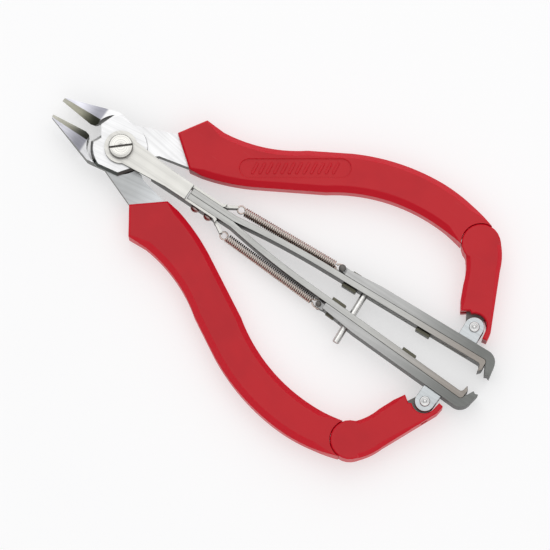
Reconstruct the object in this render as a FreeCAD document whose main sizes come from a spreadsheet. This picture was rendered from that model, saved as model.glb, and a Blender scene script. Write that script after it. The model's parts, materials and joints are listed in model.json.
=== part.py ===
"""Side-cutting nippers with a sliding wire-stripper between the handles.

Frame: the main pivot's axis is Z and the tool lies on its back at z = 0.
+X runs from the pivot along the tool to the stripping hooks; the blades point to -X.
The model is written for the +Y side; the -Y side is the same shape turned half a turn about
the X axis at mid height.  Millimetres throughout.
"""
import FreeCAD, Part
import math
import os
import Sketcher

V = FreeCAD.Vector
Z_AXIS = V(0, 0, 1)
DOC = FreeCAD.newDocument("stripping_nippers")


# ---------------------------------------------------------------- driving dimensions
class Size:
    """A length with the sheet expression that gives it, so sums of sizes stay bound to the sheet."""

    def __init__(self, value, text):
        self.value = float(value)
        self.text = text

    def combine(self, other, sign, swap=False):
        other = as_size(other)
        left, right = (other, self) if swap else (self, other)
        value = {"+": left.value + right.value, "-": left.value - right.value,
                 "*": left.value * right.value}[sign]
        return Size(value, "(%s %s %s)" % (left.text, sign, right.text))

    def __add__(self, other):
        return self.combine(other, "+")

    def __radd__(self, other):
        return self.combine(other, "+", swap=True)

    def __sub__(self, other):
        return self.combine(other, "-")

    def __rsub__(self, other):
        return self.combine(other, "-", swap=True)

    def __mul__(self, other):
        return self.combine(other, "*")

    def __rmul__(self, other):
        return self.combine(other, "*", swap=True)

    def __neg__(self):
        return self.combine(-1, "*")


def as_size(number):
    if isinstance(number, Size):
        return number
    return Size(number, "%.6f" % number)


def value(number):
    return as_size(number).value


SHEET = DOC.addObject("Spreadsheet::Sheet", "sizes")
SHEET_ROWS = []


def size(alias, number, note):
    """Adds one driving dimension to the sheet and returns it."""
    row = len(SHEET_ROWS) + 1
    SHEET_ROWS.append(alias)
    SHEET.set("A%d" % row, note)
    SHEET.set("B%d" % row, str(number))
    SHEET.setAlias("B%d" % row, alias)
    return Size(number, "sizes." + alias)


TOTAL_HIGH = size("total_high", 10.0, "height of the grips and of the leg covers")
MID_HIGH = size("mid_high", 5.0, "height of the lap plane and of the cutting edges")
LAP_LOW = size("lap_low", 1.0, "underside of the rear half's boss")
LAP_HIGH = size("lap_high", 8.98, "top of the front half's boss")
LAP_GAP = size("lap_gap", 0.02, "half the running gap in the lap joint")
SHANK_LOW = size("shank_low", 2.5, "underside of the bare shanks")
SHANK_THICK = size("shank_thick", 5.0, "thickness of the bare shanks")
CORE_LOW = size("core_low", 3.5, "underside of the steel inside the covers")
CORE_THICK = size("core_thick", 3.0, "thickness of the steel inside the covers")

BOSS_RADIUS = size("boss_radius", 10.35, "outer radius of each half's boss")
SHOULDER_RADIUS = size("shoulder_radius", 11.6, "radius of the shoulder round the other boss")
LAP_CLEAR = size("lap_clear", 0.2, "least gap between the shoulder and the other boss")
WAIST_RADIUS = size("waist_radius", 8.85, "radius of the boss on its handle side")
WAIST_CLEAR = size("waist_clear", 9.0, "radius of the shank's hollow round the other boss")
PIVOT_RADIUS = size("pivot_radius", 2.6, "radius of the pivot screw's shaft")
PIVOT_HOLE = size("pivot_hole", 2.64, "radius of the pivot hole in both halves")
HEAD_RADIUS = size("head_radius", 4.1, "radius of the pivot screw's head")
HEAD_THICK = size("head_thick", 1.9, "height of the pivot screw's head")
SLOT_WIDE = size("slot_wide", 0.75, "width of the screwdriver slot")
SLOT_DEEP = size("slot_deep", 0.9, "depth of the screwdriver slot")
NUT_RADIUS = size("nut_radius", 4.6, "radius of the pivot nut")

TIP_REACH = size("tip_reach", 26.0, "distance of the blade tips from the pivot axis")
EDGE_BASE = size("edge_base", 13.5, "distance of the cutting edge's inner end")
TIP_HALF_OPEN = size("tip_half_open", 2.78, "half the opening between the blade tips")
BASE_HALF_OPEN = size("base_half_open", 1.44, "half the opening at the cutting edge's inner end")

KNUCKLE_X = size("knuckle_x", 119.2, "knuckle hinge, along the tool")
KNUCKLE_Y = size("knuckle_y", 40.0, "knuckle hinge, across the tool")
KNUCKLE_RADIUS = size("knuckle_radius", 6.6, "radius of the leg cover's round end")
SOCKET_RADIUS = size("socket_radius", 6.78, "radius of the hollow at the grip's end")
EYE_RADIUS = size("eye_radius", 4.4, "radius of the two steel eyes in the knuckle")
EYE_THICK = size("eye_thick", 1.45, "thickness of each steel eye")
SWING_ROOM = size("swing_room", 0.2, "room round the moving steel inside the leg cover")
KNUCKLE_PIN = size("knuckle_pin", 1.5, "radius of the knuckle rivet")
KNUCKLE_HOLE = size("knuckle_hole", 1.54, "radius of the hole that turns on the knuckle rivet")
KNUCKLE_GAP = size("knuckle_gap", 0.04, "gap between the turning eye and the rivet's head")
RIVET_HEAD = size("rivet_head", 2.5, "radius of the knuckle rivet's heads")
HEAD_HIGH = size("head_high", 0.8, "height of the knuckle rivet's heads")
LINK_TOP = size("link_top", 5.3, "radius of the leg link's broad end at the knuckle")

CLEVIS_X = size("clevis_x", 132.9, "clevis rivet, along the tool")
CLEVIS_Y = size("clevis_y", 15.1, "clevis rivet, across the tool")
CLEVIS_PIN = size("clevis_pin", 1.1, "radius of the clevis rivet's shaft")
CLEVIS_HOLE = size("clevis_hole", 2.1, "radius of the leg's eye at the clevis: the linkage's play")
CLEVIS_WIDE = size("clevis_wide", 6.8, "width of the clevis ears")
CLEVIS_LOW = size("clevis_low", 1.9, "underside of the clevis")
CLEVIS_HIGH = size("clevis_high", 6.2, "height of the clevis across both ears")
EAR_THICK = size("ear_thick", 1.2, "thickness of the clevis metal")
LINK_END = size("link_end", 2.9, "radius of the leg link's end at the clevis")
CLEVIS_HEAD = size("clevis_head", 1.75, "radius of the clevis rivet's heads")
CLEVIS_HEAD_HIGH = size("clevis_head_high", 0.7, "height of the clevis rivet's heads")
CLEVIS_WINDOW = size("clevis_window", 2.6, "half the width of the window in the clevis foot")
NOTCH_X = size("notch_x", 132.65, "centre of the leg cover's notch round the clevis, along the tool")
NOTCH_Y = size("notch_y", 15.35, "centre of that notch, across the tool")
NOTCH_RADIUS = size("notch_radius", 4.2, "radius of that notch, with room for the linkage's play")

ARM_X = size("arm_x", 80.0, "start of the arms' straight stretch, along the tool")
ARM_Y = size("arm_y", 3.3, "inner face of the arm at that start")
ARM_ANGLE = 2.2
LEAF_RADIUS = 308.0
LEAF_LONG = 34.0
BAR_LOW = size("bar_low", 1.0, "underside of the bars")
BAR_HIGH = size("bar_high", 8.0, "height of the bars")
INNER_THICK = size("inner_thick", 2.1, "thickness of the spring-leaf inner bars")
BAR_GAP = size("bar_gap", 0.06, "running gap between the inner and the outer bar")
OUTER_THICK = size("outer_thick", 3.05, "thickness of the sliding outer bars")
OUTER_START = size("outer_start", 7.0, "start of the outer bar along the arm")
HOOK_CENTRE = size("hook_centre", 61.7, "centre of the hooks' bends along the arm")
HOOK_BEND = size("hook_bend", 4.3, "outer radius of the outer hook's bend")
GUIDE_AT = size("guide_at", 16.0, "guide pin along the arm")
GUIDE_RADIUS = size("guide_radius", 1.2, "radius of the guide pin")
GUIDE_LONG = size("guide_long", 24.0, "length of the guide pin")
GUIDE_PLAY = size("guide_play", 0.9, "half the guide slot's straight length in the lower bar")
STROKE = size("stroke", 14.9, "travel of the outer bars")
LUG_FIRST = size("lug_first", 10.4, "first slide lug along the arm")
LUG_PITCH = size("lug_pitch", 29.0, "distance between the two slide lugs")
LUG_LONG = size("lug_long", 5.3, "length of a slide lug's head")
LUG_STEM = size("lug_stem", 3.2, "length of a slide lug's stem")
LUG_HIGH = size("lug_high", 4.0, "height of a slide lug's head")
LUG_PROUD = size("lug_proud", 1.2, "thickness of a slide lug's head")
STEM_HIGH = size("stem_high", 2.0, "height of a slide lug's stem")
TRACK_HIGH = size("track_high", 2.6, "height of the tracks in the inner bars")
TRACK_ROOM = size("track_room", 0.3, "room beyond a lug's stem at each end of its track")

YOKE_LOW = size("yoke_low", 9.03, "underside of the yoke's eye")
YOKE_THICK = size("yoke_thick", 1.2, "thickness of the yoke's sheet over the boss")
YOKE_EYE = size("yoke_eye", 5.6, "outer radius of the yoke's eye")
YOKE_END = size("yoke_end", 27.7, "end of the yoke's flat web")
FLANGE_START = size("flange_start", 14.0, "start of the yoke's side flanges")
FLANGE_TAPER = size("flange_taper", 40.6, "start of the flanges' narrow hooks")
WEB_NECK = size("web_neck", 20.0, "where the yoke's web has narrowed to its flanges")
FLANGE_THICK = size("flange_thick", 0.8, "thickness of the yoke's side flanges")
FLANGE_INNER = size("flange_inner", 2.12, "inner face of the yoke's side flanges")
ROOT_START = size("root_start", 28.2, "start of the bars' clamped roots")
ROOT_END = size("root_end", 45.6, "end of the bars' clamped roots")
RIVET_NEAR = size("rivet_near", 32.0, "first rivet through the yoke, from the pivot")
RIVET_FAR = size("rivet_far", 37.2, "second rivet through the yoke, from the pivot")
YOKE_RIVET = size("yoke_rivet", 1.0, "radius of the rivets through the yoke")
DOME_RADIUS = size("dome_radius", 1.65, "radius of those rivets' domed heads")
DOME_HIGH = size("dome_high", 1.4, "height of those domed heads")

SPRING_RADIUS = size("spring_radius", 1.6, "outer radius of the return springs")
SPRING_WIRE = size("spring_wire", 0.5, "wire of the return springs")
SPRING_X = size("spring_x", 46.4, "start of the springs' coils, along the tool")
SPRING_Y = size("spring_y", 5.35, "start of the springs' coils, across the tool")
SPRING_LOOP = size("spring_loop", 2.4, "room that the far loop takes beyond the coils")
SPRING_PIN = size("spring_pin", 0.9, "radius of the pin that takes the spring's far loop")
SPRING_PIN_AT = size("spring_pin_at", 5.1, "spring pin along the arm")
SPRING_PIN_OUT = size("spring_pin_out", 1.62, "spring pin's distance from the outer bar's inner face")
SPRING_PIN_LOW = size("spring_pin_low", 1.8, "underside of the spring pin")
SPRING_PIN_HIGH = size("spring_pin_high", 6.4, "height of the spring pin under its head")
BAR_EYE = size("bar_eye", 1.25, "radius of the outer bar's eye round the spring pin")

COVER_BEVEL = size("cover_bevel", 1.5, "bevel round the red covers")
BOSS_BEVEL = size("boss_bevel", 0.9, "bevel on the boss's edge over the bare shank")
HEAD_BEVEL = size("head_bevel", 0.45, "bevel round the pivot screw's head")
RECESS_DEEP = size("recess_deep", 0.5, "depth of the long recess in the upper grip")
RECESS_X = size("recess_x", 53.0, "centre of that recess, along the tool")
RECESS_Y = size("recess_y", 26.6, "centre of that recess, across the tool")

DOC.recompute()

PIVOT = (0, 0)
KNUCKLE = (KNUCKLE_X, KNUCKLE_Y)
CLEVIS = (CLEVIS_X, CLEVIS_Y)
NOTCH = (NOTCH_X, NOTCH_Y)
YOKE_RIVETS = (RIVET_NEAR, RIVET_FAR)
SLOT_LEAN = 41.0
RECESS_LEAN = 33.7
FLIP = FreeCAD.Placement(V(0, 0, TOTAL_HIGH.value), FreeCAD.Rotation(V(1, 0, 0), 180))
HERE = FreeCAD.Placement()
ARM = FreeCAD.Placement(V(ARM_X.value, ARM_Y.value, 0), FreeCAD.Rotation(Z_AXIS, ARM_ANGLE))
UPPER, LOWER = "upper", "lower"


def placed(side, local=HERE):
    """The placement of a piece that is drawn for the upper side."""
    return local if side == UPPER else FLIP.multiply(local)


# ---------------------------------------------------------------- sketch and feature helpers
class Bend:
    """A point on an arc between the outline's vertices before and after it."""

    def __init__(self, x, y):
        self.x = x
        self.y = y


def polar(centre, radius, degrees):
    """A point at a radius and an angle from a centre, still bound to the sheet."""
    turn = math.radians(degrees)
    return centre[0] + radius * math.cos(turn), centre[1] + radius * math.sin(turn)


def polar_bend(centre, radius, degrees):
    return Bend(*polar(centre, radius, degrees))


def new_sketch(body, name, height=0.0, role="XY_Plane"):
    sketch = body.newObject("Sketcher::SketchObject", name)
    plane = [f for f in body.Origin.OriginFeatures if f.Role == role][0]
    sketch.AttachmentSupport = [(plane, "")]
    sketch.MapMode = "FlatFace"
    sketch.AttachmentOffset = FreeCAD.Placement(V(0, 0, value(height)), FreeCAD.Rotation())
    if isinstance(height, Size):
        sketch.setExpression(".AttachmentOffset.Base.z", height.text)
    return sketch


def constrain(sketch, kind, places, number):
    index = sketch.addConstraint(Sketcher.Constraint(kind, *places, value(number)))
    if isinstance(number, Size):
        sketch.setExpression("Constraints[%d]" % index, number.text)


def arc_between(start, middle, end):
    """A counter-clockwise sketch arc through three points, with its start and end point numbers."""
    curve = Part.Arc(start, middle, end).toShape().Curve
    centre = curve.Center
    first = math.atan2(start.y - centre.y, start.x - centre.x)
    last = math.atan2(end.y - centre.y, end.x - centre.x)
    circle = Part.Circle(centre, Z_AXIS, curve.Radius)
    if (middle - start).cross(end - middle).z > 0:
        return Part.ArcOfCircle(circle, first, last + (2 * math.pi if last < first else 0)), 1, 2
    return Part.ArcOfCircle(circle, last, first + (2 * math.pi if first < last else 0)), 2, 1


def add_outline(sketch, outline):
    """Draws a closed outline of vertices and Bends, every vertex held by its coordinates."""
    vertices = [p for p in outline if not isinstance(p, Bend)]
    points = [V(value(p[0]), value(p[1]), 0) for p in vertices]
    bends = {}
    seen = 0
    for item in outline:
        if isinstance(item, Bend):
            bends[seen - 1] = V(value(item.x), value(item.y), 0)
        else:
            seen += 1
    edges = []
    for i, start in enumerate(points):
        end = points[(i + 1) % len(points)]
        if i in bends:
            arc, first, last = arc_between(start, bends[i], end)
            edges.append((sketch.addGeometry(arc), first, last))
        else:
            edges.append((sketch.addGeometry(Part.LineSegment(start, end)), 1, 2))
    for i, (edge, first, last) in enumerate(edges):
        following = edges[(i + 1) % len(edges)]
        sketch.addConstraint(Sketcher.Constraint("Coincident", edge, last, following[0], following[1]))
    for (edge, first, last), vertex in zip(edges, vertices):
        constrain(sketch, "DistanceX", (-1, 1, edge, first), vertex[0])
        constrain(sketch, "DistanceY", (-1, 1, edge, first), vertex[1])
    for i in bends:
        radius = sketch.Geometry[edges[i][0]].Radius
        chord = (points[(i + 1) % len(points)] - points[i]).Length
        if chord < 1.99 * radius:
            sketch.addConstraint(Sketcher.Constraint("Radius", edges[i][0], radius))


def add_circle(sketch, centre, radius):
    circle = sketch.addGeometry(Part.Circle(V(value(centre[0]), value(centre[1]), 0), Z_AXIS, value(radius)))
    constrain(sketch, "DistanceX", (-1, 1, circle, 3), centre[0])
    constrain(sketch, "DistanceY", (-1, 1, circle, 3), centre[1])
    constrain(sketch, "Radius", (circle,), radius)


def draw(sketch, shapes):
    """Draws outlines (lists) and circles (centre, radius) on a sketch."""
    for shape in shapes:
        if isinstance(shape, list):
            add_outline(sketch, shape)
        else:
            add_circle(sketch, *shape)


def bound(feature, prop, number):
    setattr(feature, prop, value(number))
    if isinstance(number, Size):
        feature.setExpression(prop, number.text)


def new_body(name):
    return DOC.addObject("PartDesign::Body", name)


def feature_name(body, word):
    return "%s_%s_%d" % (body.Name, word, len(body.Group))


def pad(body, shapes, low, thick):
    """Adds material from height low over a thickness."""
    sketch = new_sketch(body, feature_name(body, "outline"), low)
    draw(sketch, shapes)
    feature = body.newObject("PartDesign::Pad", feature_name(body, "pad"))
    feature.Profile = sketch
    bound(feature, "Length", thick)
    sketch.Visibility = False
    return feature


def pocket(body, shapes, low, thick):
    """Removes material from height low over a thickness."""
    sketch = new_sketch(body, feature_name(body, "cut_outline"), low)
    draw(sketch, shapes)
    feature = body.newObject("PartDesign::Pocket", feature_name(body, "pocket"))
    feature.Profile = sketch
    feature.Reversed = True
    bound(feature, "Length", thick)
    return feature


def cut_box(body, placement, long, wide, high):
    """Removes a turned box: a plane facet where only one of its sides meets the piece."""
    feature = body.newObject("PartDesign::SubtractiveBox", feature_name(body, "facet"))
    bound(feature, "Length", long)
    bound(feature, "Width", wide)
    bound(feature, "Height", high)
    feature.Placement = placement
    return feature


def bevel_edges(body, levels, width, keep=None):
    """Bevels the flat edges that lie at the given heights."""
    DOC.recompute()
    base = body.Tip
    names = []
    for number, edge in enumerate(base.Shape.Edges, 1):
        box = edge.BoundBox
        flat = any(abs(box.ZMin - z) < 1e-5 and abs(box.ZMax - z) < 1e-5 for z in levels)
        if flat and (keep is None or keep(box.Center)):
            names.append("Edge%d" % number)
    feature = body.newObject("PartDesign::Chamfer", feature_name(body, "bevel"))
    feature.Base = (base, names)
    bound(feature, "Size", width)
    return feature


NODES = []


def node(piece, name, placement=HERE):
    """Names a finished sub-part and puts it in its place."""
    piece.Label = name
    if piece.TypeId == "PartDesign::Body":
        piece.Placement = placement
    NODES.append(piece)
    return piece


def cut_node(name, outside, *tools):
    """A sub-part that is one solid with the room for others cut out of it."""
    cut = None
    for number, tool in enumerate(tools):
        feature = DOC.addObject("Part::Cut", "%s_less_%d" % (name, number))
        feature.Base = cut or outside
        feature.Tool = tool
        cut = feature
    return node(cut, name)


# ---------------------------------------------------------------- the two lapped halves
def blade_outline():
    """The blade and its root outside the other half's boss; the blade is on the -Y side."""
    return [
        (-TIP_REACH, -TIP_HALF_OPEN),
        (-25.6, -4.05),
        (-7.4, -9.8),
        polar(PIVOT, BOSS_RADIUS + LAP_CLEAR, 243),
        polar_bend(PIVOT, SHOULDER_RADIUS, 218),
        polar(PIVOT, SHOULDER_RADIUS, 193),
        (-11.9, -1.9),
        (-EDGE_BASE, -BASE_HALF_OPEN),
    ]


def boss_outline():
    """The half's own boss with the blade's root; round on the far side of the blade."""
    return [
        (-7.4, -9.8),
        (-1.0, -8.8),
        polar_bend(PIVOT, WAIST_RADIUS, -62),
        polar(PIVOT, WAIST_RADIUS, -26),
        polar_bend(PIVOT, WAIST_RADIUS, 0),
        polar(PIVOT, WAIST_RADIUS, 24),
        (4.3, 8.55),
        polar(PIVOT, BOSS_RADIUS, 109),
        polar_bend(PIVOT, BOSS_RADIUS, 135),
        polar(PIVOT, BOSS_RADIUS, 160),
        (-8.9, 2.0),
        (-8.0, 0.0),
        (-10.0, -3.0),
    ]


def shank_outline():
    """The bare shank on the +Y side, hollowed round the other half's boss."""
    return [
        polar(PIVOT, WAIST_CLEAR, 97),
        polar_bend(PIVOT, WAIST_CLEAR, 60),
        polar(PIVOT, WAIST_CLEAR, 22),
        (11.0, 3.9),
        (12.2, 4.9),
        (22.2, 7.1),
        (29.0, 10.6),
        (26.0, 17.4),
        (13.2, 14.5),
        (6.6, 11.9),
    ]


def core_outline():
    """The steel inside the grip, from the shank to the knuckle's eye."""
    return [
        (24.0, 9.3),
        (31.0, 13.2),
        (60.0, 27.2),
        Bend(80.0, 37.2),
        (100.0, 40.6),
        (111.4, 39.2),
        (112.0, 41.4),
        (111.4, 45.2),
        (100.0, 46.4),
        Bend(79.0, 43.1),
        (58.0, 32.4),
        (34.0, 20.4),
        (22.0, 15.4),
    ]


def knuckle_tongue_outline():
    """The thinned tongue that enters the leg cover and ends at the eye."""
    return [
        (110.5, 39.3),
        polar(KNUCKLE, EYE_RADIUS, 200),
        polar_bend(KNUCKLE, EYE_RADIUS, 345),
        polar(KNUCKLE, EYE_RADIUS, 131),
        (111.0, 45.1),
    ]


def make_half(side, name):
    """One lapped half: blade, boss, shank, core and knuckle eye in one forging."""
    body = new_body(name)
    boss_top = MID_HIGH - LAP_GAP
    pad(body, [boss_outline()], LAP_LOW, boss_top - LAP_LOW)
    pad(body, [blade_outline()], LAP_LOW, LAP_HIGH - LAP_LOW)
    pad(body, [shank_outline()], SHANK_LOW, SHANK_THICK)
    pad(body, [core_outline()], CORE_LOW, CORE_THICK)
    pad(body, [knuckle_tongue_outline()], CORE_LOW + CORE_THICK - EYE_THICK, EYE_THICK)
    pocket(body, [(PIVOT, PIVOT_HOLE)], LAP_LOW - 1, TOTAL_HIGH)
    pocket(body, [(KNUCKLE, KNUCKLE_PIN)], CORE_LOW - 1, TOTAL_HIGH)
    for upward in (1, -1):
        cut_box(body, facet_placement(upward), 60, 40, 8)
        cut_box(body, bevel_placement(upward), 18, 8, 8)
    bevel_edges(body, (LAP_LOW.value,), BOSS_BEVEL, lambda centre: centre.y > 0.5)
    return node(body, name, placed(side))


def turned(origin, along, across):
    """A placement from an origin, a direction for x and a second direction in the x-y plane."""
    along = V(*along).normalize()
    normal = along.cross(V(*across)).normalize()
    return FreeCAD.Placement(V(*origin), FreeCAD.Rotation(along, normal.cross(along), normal, "XYZ"))


def facet_placement(upward):
    """The long facet that thins the blade from its root towards the tip."""
    drop = 2.5
    run = V(-9.21, -7.38, 0)
    start = V(-10.8, -3.5, MID_HIGH.value + upward * (LAP_HIGH.value - MID_HIGH.value))
    along = V(0.625, -0.781, 0)
    slope = V(run.x, run.y, -upward * drop)
    corner = start - along * 30
    if upward > 0:
        return turned(corner, along * -1, slope).multiply(FreeCAD.Placement(V(-60, 0, 0), FreeCAD.Rotation()))
    return turned(corner, along, slope)


def bevel_placement(upward):
    """The bevel that brings each blade face down to the cutting edge."""
    edge = V(-TIP_REACH.value + EDGE_BASE.value, -TIP_HALF_OPEN.value + BASE_HALF_OPEN.value, 0)
    start = V(-11.4, -BASE_HALF_OPEN.value + 0.225, MID_HIGH.value)
    across = V(-0.1, -1.0, upward * 1.25)
    if upward > 0:
        return turned(start, edge, across)
    shift = FreeCAD.Placement(V(-18, 0, 0), FreeCAD.Rotation())
    return turned(start, edge * -1, across).multiply(shift)


# ---------------------------------------------------------------- grips and legs
def grip_outline():
    """The red cover of one handle, from its slanted mouth to the hollow for the leg's round end."""
    return [
        (23.4, 6.6),
        (28.2, 7.2),
        Bend(36.8, 10.0),
        (45.3, 14.0),
        (66.0, 25.7),
        Bend(82.0, 34.0),
        (98.0, 37.1),
        Bend(106.5, 37.0),
        polar(KNUCKLE, SOCKET_RADIUS, 216),
        polar_bend(KNUCKLE, SOCKET_RADIUS, 153),
        polar(KNUCKLE, SOCKET_RADIUS, 90),
        Bend(108.0, 49.6),
        (97.0, 50.2),
        Bend(82.0, 47.9),
        (66.0, 41.7),
        (52.9, 34.2),
        Bend(40.0, 27.0),
        (26.0, 23.7),
        (19.1, 23.9),
        (13.2, 14.75),
    ]


def leg_outline():
    """The red cover of one leg: round at the knuckle, notched round the clevis."""
    return [
        polar(KNUCKLE, KNUCKLE_RADIUS, 252),
        Bend(119.9, 29.9),
        (121.6, 25.8),
        (124.0, 20.4),
        (126.2, 17.0),
        (128.6, 18.8),
        polar(NOTCH, NOTCH_RADIUS, 136),
        polar_bend(NOTCH, NOTCH_RADIUS, 75),
        polar(NOTCH, NOTCH_RADIUS, 8),
        (137.3, 13.1),
        (139.0, 13.4),
        (138.6, 16.3),
        (129.6, 35.8),
        Bend(127.0, 41.0),
        polar(KNUCKLE, KNUCKLE_RADIUS, 50),
        polar_bend(KNUCKLE, KNUCKLE_RADIUS, 150),
    ]


def recess_outline():
    """The long round-ended recess on the front of the upper grip."""
    centre = (RECESS_X, RECESS_Y)
    half_long = 15.6
    half_wide = 3.3
    front = polar(centre, half_long, RECESS_LEAN)
    back = polar(centre, half_long, RECESS_LEAN + 180)
    return [
        polar(front, half_wide, RECESS_LEAN - 90),
        polar_bend(front, half_wide, RECESS_LEAN),
        polar(front, half_wide, RECESS_LEAN + 90),
        polar(back, half_wide, RECESS_LEAN + 90),
        polar_bend(back, half_wide, RECESS_LEAN + 180),
        polar(back, half_wide, RECESS_LEAN - 90),
    ]


def make_grip(side, half):
    body = new_body(side + "_grip_solid")
    pad(body, [grip_outline()], 0, TOTAL_HIGH)
    bevel_edges(body, (0.0, TOTAL_HIGH.value), COVER_BEVEL)
    if side == UPPER:
        pocket(body, [recess_outline()], TOTAL_HIGH - RECESS_DEEP, 2)
    body.Placement = placed(side)
    return cut_node(side + "_grip_cover", body, half)


def make_knuckle_rivet(side):
    body = new_body(side + "_knuckle_rivet")
    pad(body, [(KNUCKLE, KNUCKLE_PIN)], CORE_LOW, CORE_THICK)
    pad(body, [(KNUCKLE, RIVET_HEAD)], CORE_LOW + CORE_THICK, HEAD_HIGH)
    pad(body, [(KNUCKLE, RIVET_HEAD)], CORE_LOW - HEAD_HIGH - KNUCKLE_GAP, HEAD_HIGH)
    pad(body, [(KNUCKLE, KNUCKLE_PIN)], CORE_LOW - KNUCKLE_GAP * 2, KNUCKLE_GAP * 4)
    return node(body, side + "_knuckle_rivet", placed(side))


def link_outline():
    """The steel link inside the leg cover, down to its eye at the clevis."""
    return [
        polar(KNUCKLE, LINK_TOP, 262),
        polar_bend(KNUCKLE, LINK_TOP, 300),
        polar(KNUCKLE, LINK_TOP, 338),
        polar(CLEVIS, LINK_END, 29),
        polar_bend(CLEVIS, LINK_END, 299),
        polar(CLEVIS, LINK_END, 209),
    ]


def link_eye_outline():
    """The thin end of the link, which overlaps the handle's eye in the knuckle."""
    return [
        polar(KNUCKLE, EYE_RADIUS, 209),
        (121.2, 32.0),
        (125.0, 34.2),
        polar(KNUCKLE, EYE_RADIUS, 29),
        polar_bend(KNUCKLE, EYE_RADIUS, 119),
    ]


def make_link(side):
    body = new_body(side + "_leg_link")
    pad(body, [link_outline()], CORE_LOW, CORE_THICK)
    pad(body, [link_eye_outline()], CORE_LOW, EYE_THICK)
    pocket(body, [(KNUCKLE, KNUCKLE_HOLE)], CORE_LOW - 1, TOTAL_HIGH)
    pocket(body, [(CLEVIS, CLEVIS_HOLE)], CORE_LOW - 1, TOTAL_HIGH)
    return node(body, side + "_leg_link", placed(side))


def make_leg_cover(side, link):
    """The leg cover, with room inside for the handle's tongue to swing and for the rivet's heads."""
    body = new_body(side + "_leg_solid")
    pad(body, [leg_outline()], 0, TOTAL_HIGH)
    eye_room = EYE_RADIUS + SWING_ROOM
    outside = KNUCKLE_RADIUS + 3
    swing = [
        polar(KNUCKLE, eye_room, 211),
        polar_bend(KNUCKLE, eye_room, 330),
        polar(KNUCKLE, eye_room, 76),
        polar(KNUCKLE, outside, 92),
        polar(KNUCKLE, outside, 150),
        polar(KNUCKLE, outside, 200),
    ]
    pocket(body, [swing], MID_HIGH + 0.01, CORE_THICK * 0.5 + 0.09)
    pocket(body, [(KNUCKLE, RIVET_HEAD + SWING_ROOM)], CORE_LOW - 1.0, CORE_THICK + 2)
    body.Placement = placed(side)
    return cut_node(side + "_leg_cover", body, link)


# ---------------------------------------------------------------- stripping arms
def leaf_point(radius, back):
    """A point on the arm's bowed stretch, back millimetres before its straight one."""
    turn = back / LEAF_RADIUS
    return -radius * math.sin(turn), radius * math.cos(turn) - LEAF_RADIUS


def inner_bar_outline():
    outside = LEAF_RADIUS + INNER_THICK.value
    bend = HOOK_BEND - OUTER_THICK - BAR_GAP
    corner = (HOOK_CENTRE, INNER_THICK - bend)
    return [
        leaf_point(LEAF_RADIUS, LEAF_LONG),
        Bend(*leaf_point(LEAF_RADIUS, LEAF_LONG / 2)),
        (0, 0),
        (60.9, 0),
        (61.5, -0.6),
        (61.9, -2.8),
        (63.0, -1.5),
        (corner[0] + bend, corner[1] - 0.6),
        (corner[0] + bend, corner[1]),
        polar_bend(corner, bend, 45),
        (corner[0], INNER_THICK),
        (0, INNER_THICK),
        Bend(*leaf_point(outside, LEAF_LONG / 2)),
        leaf_point(outside, LEAF_LONG),
    ]


def track_outline(start, stem_half, end):
    """One long track through the inner bar, on the XZ plane."""
    low = MID_HIGH - TRACK_HIGH * 0.5
    high = MID_HIGH + TRACK_HIGH * 0.5
    return [(start - stem_half, low), (end, low), (end, high), (start - stem_half, high)]


def side_pocket(body, shapes, from_v, thick):
    """Cuts through a bar across its thickness, from sketches on the XZ plane."""
    sketch = new_sketch(body, feature_name(body, "side_outline"), -value(from_v), "XZ_Plane")
    draw(sketch, shapes)
    feature = body.newObject("PartDesign::Pocket", feature_name(body, "side_pocket"))
    feature.Profile = sketch
    feature.Reversed = False
    bound(feature, "Length", thick)
    return feature


def side_pad(body, shapes, from_v, thick):
    """Adds material across a bar, from sketches on the XZ plane, towards +v."""
    sketch = new_sketch(body, feature_name(body, "side_outline"), -value(from_v), "XZ_Plane")
    draw(sketch, shapes)
    feature = body.newObject("PartDesign::Pad", feature_name(body, "side_pad"))
    feature.Profile = sketch
    feature.Reversed = True
    bound(feature, "Length", thick)
    return feature


def make_inner_bar(side):
    body = new_body(side + "_inner_bar")
    pad(body, [inner_bar_outline()], BAR_LOW, BAR_HIGH)
    first_end = GUIDE_AT + STROKE + GUIDE_RADIUS + 0.5
    second = LUG_FIRST + LUG_PITCH
    stem_half = LUG_STEM * 0.5 + TRACK_ROOM
    side_pocket(body, [track_outline(LUG_FIRST, stem_half, first_end),
                       track_outline(second, stem_half, second + STROKE + stem_half)], -1, 6)
    return node(body, side + "_inner_bar", placed(side, ARM))


def outer_bar_outline():
    low = INNER_THICK + BAR_GAP
    high = low + OUTER_THICK
    centre = (HOOK_CENTRE, high - HOOK_BEND)
    inner = HOOK_BEND - OUTER_THICK
    limb = HOOK_CENTRE + inner
    return [
        (OUTER_START, low),
        (HOOK_CENTRE, low),
        polar_bend(centre, inner, 45),
        (limb, centre[1]),
        (64.6, -2.5),
        (65.5, -2.0),
        (66.5, -2.45),
        (HOOK_CENTRE + HOOK_BEND, centre[1]),
        polar_bend(centre, HOOK_BEND, 45),
        (HOOK_CENTRE, high),
        (20.0, high),
        (OUTER_START, high - 0.9),
    ]


def bar_eye_outline():
    """The narrow neck and eye at the start of the outer bar, for the spring pin."""
    middle = value(INNER_THICK + BAR_GAP + SPRING_PIN_OUT)
    centre = (SPRING_PIN_AT, middle)
    return [
        (OUTER_START + 0.5, middle - 1.15),
        (OUTER_START + 0.5, middle + 0.9),
        polar(centre, BAR_EYE, 60),
        polar_bend(centre, BAR_EYE, 180),
        polar(centre, BAR_EYE, 300),
    ]


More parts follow.
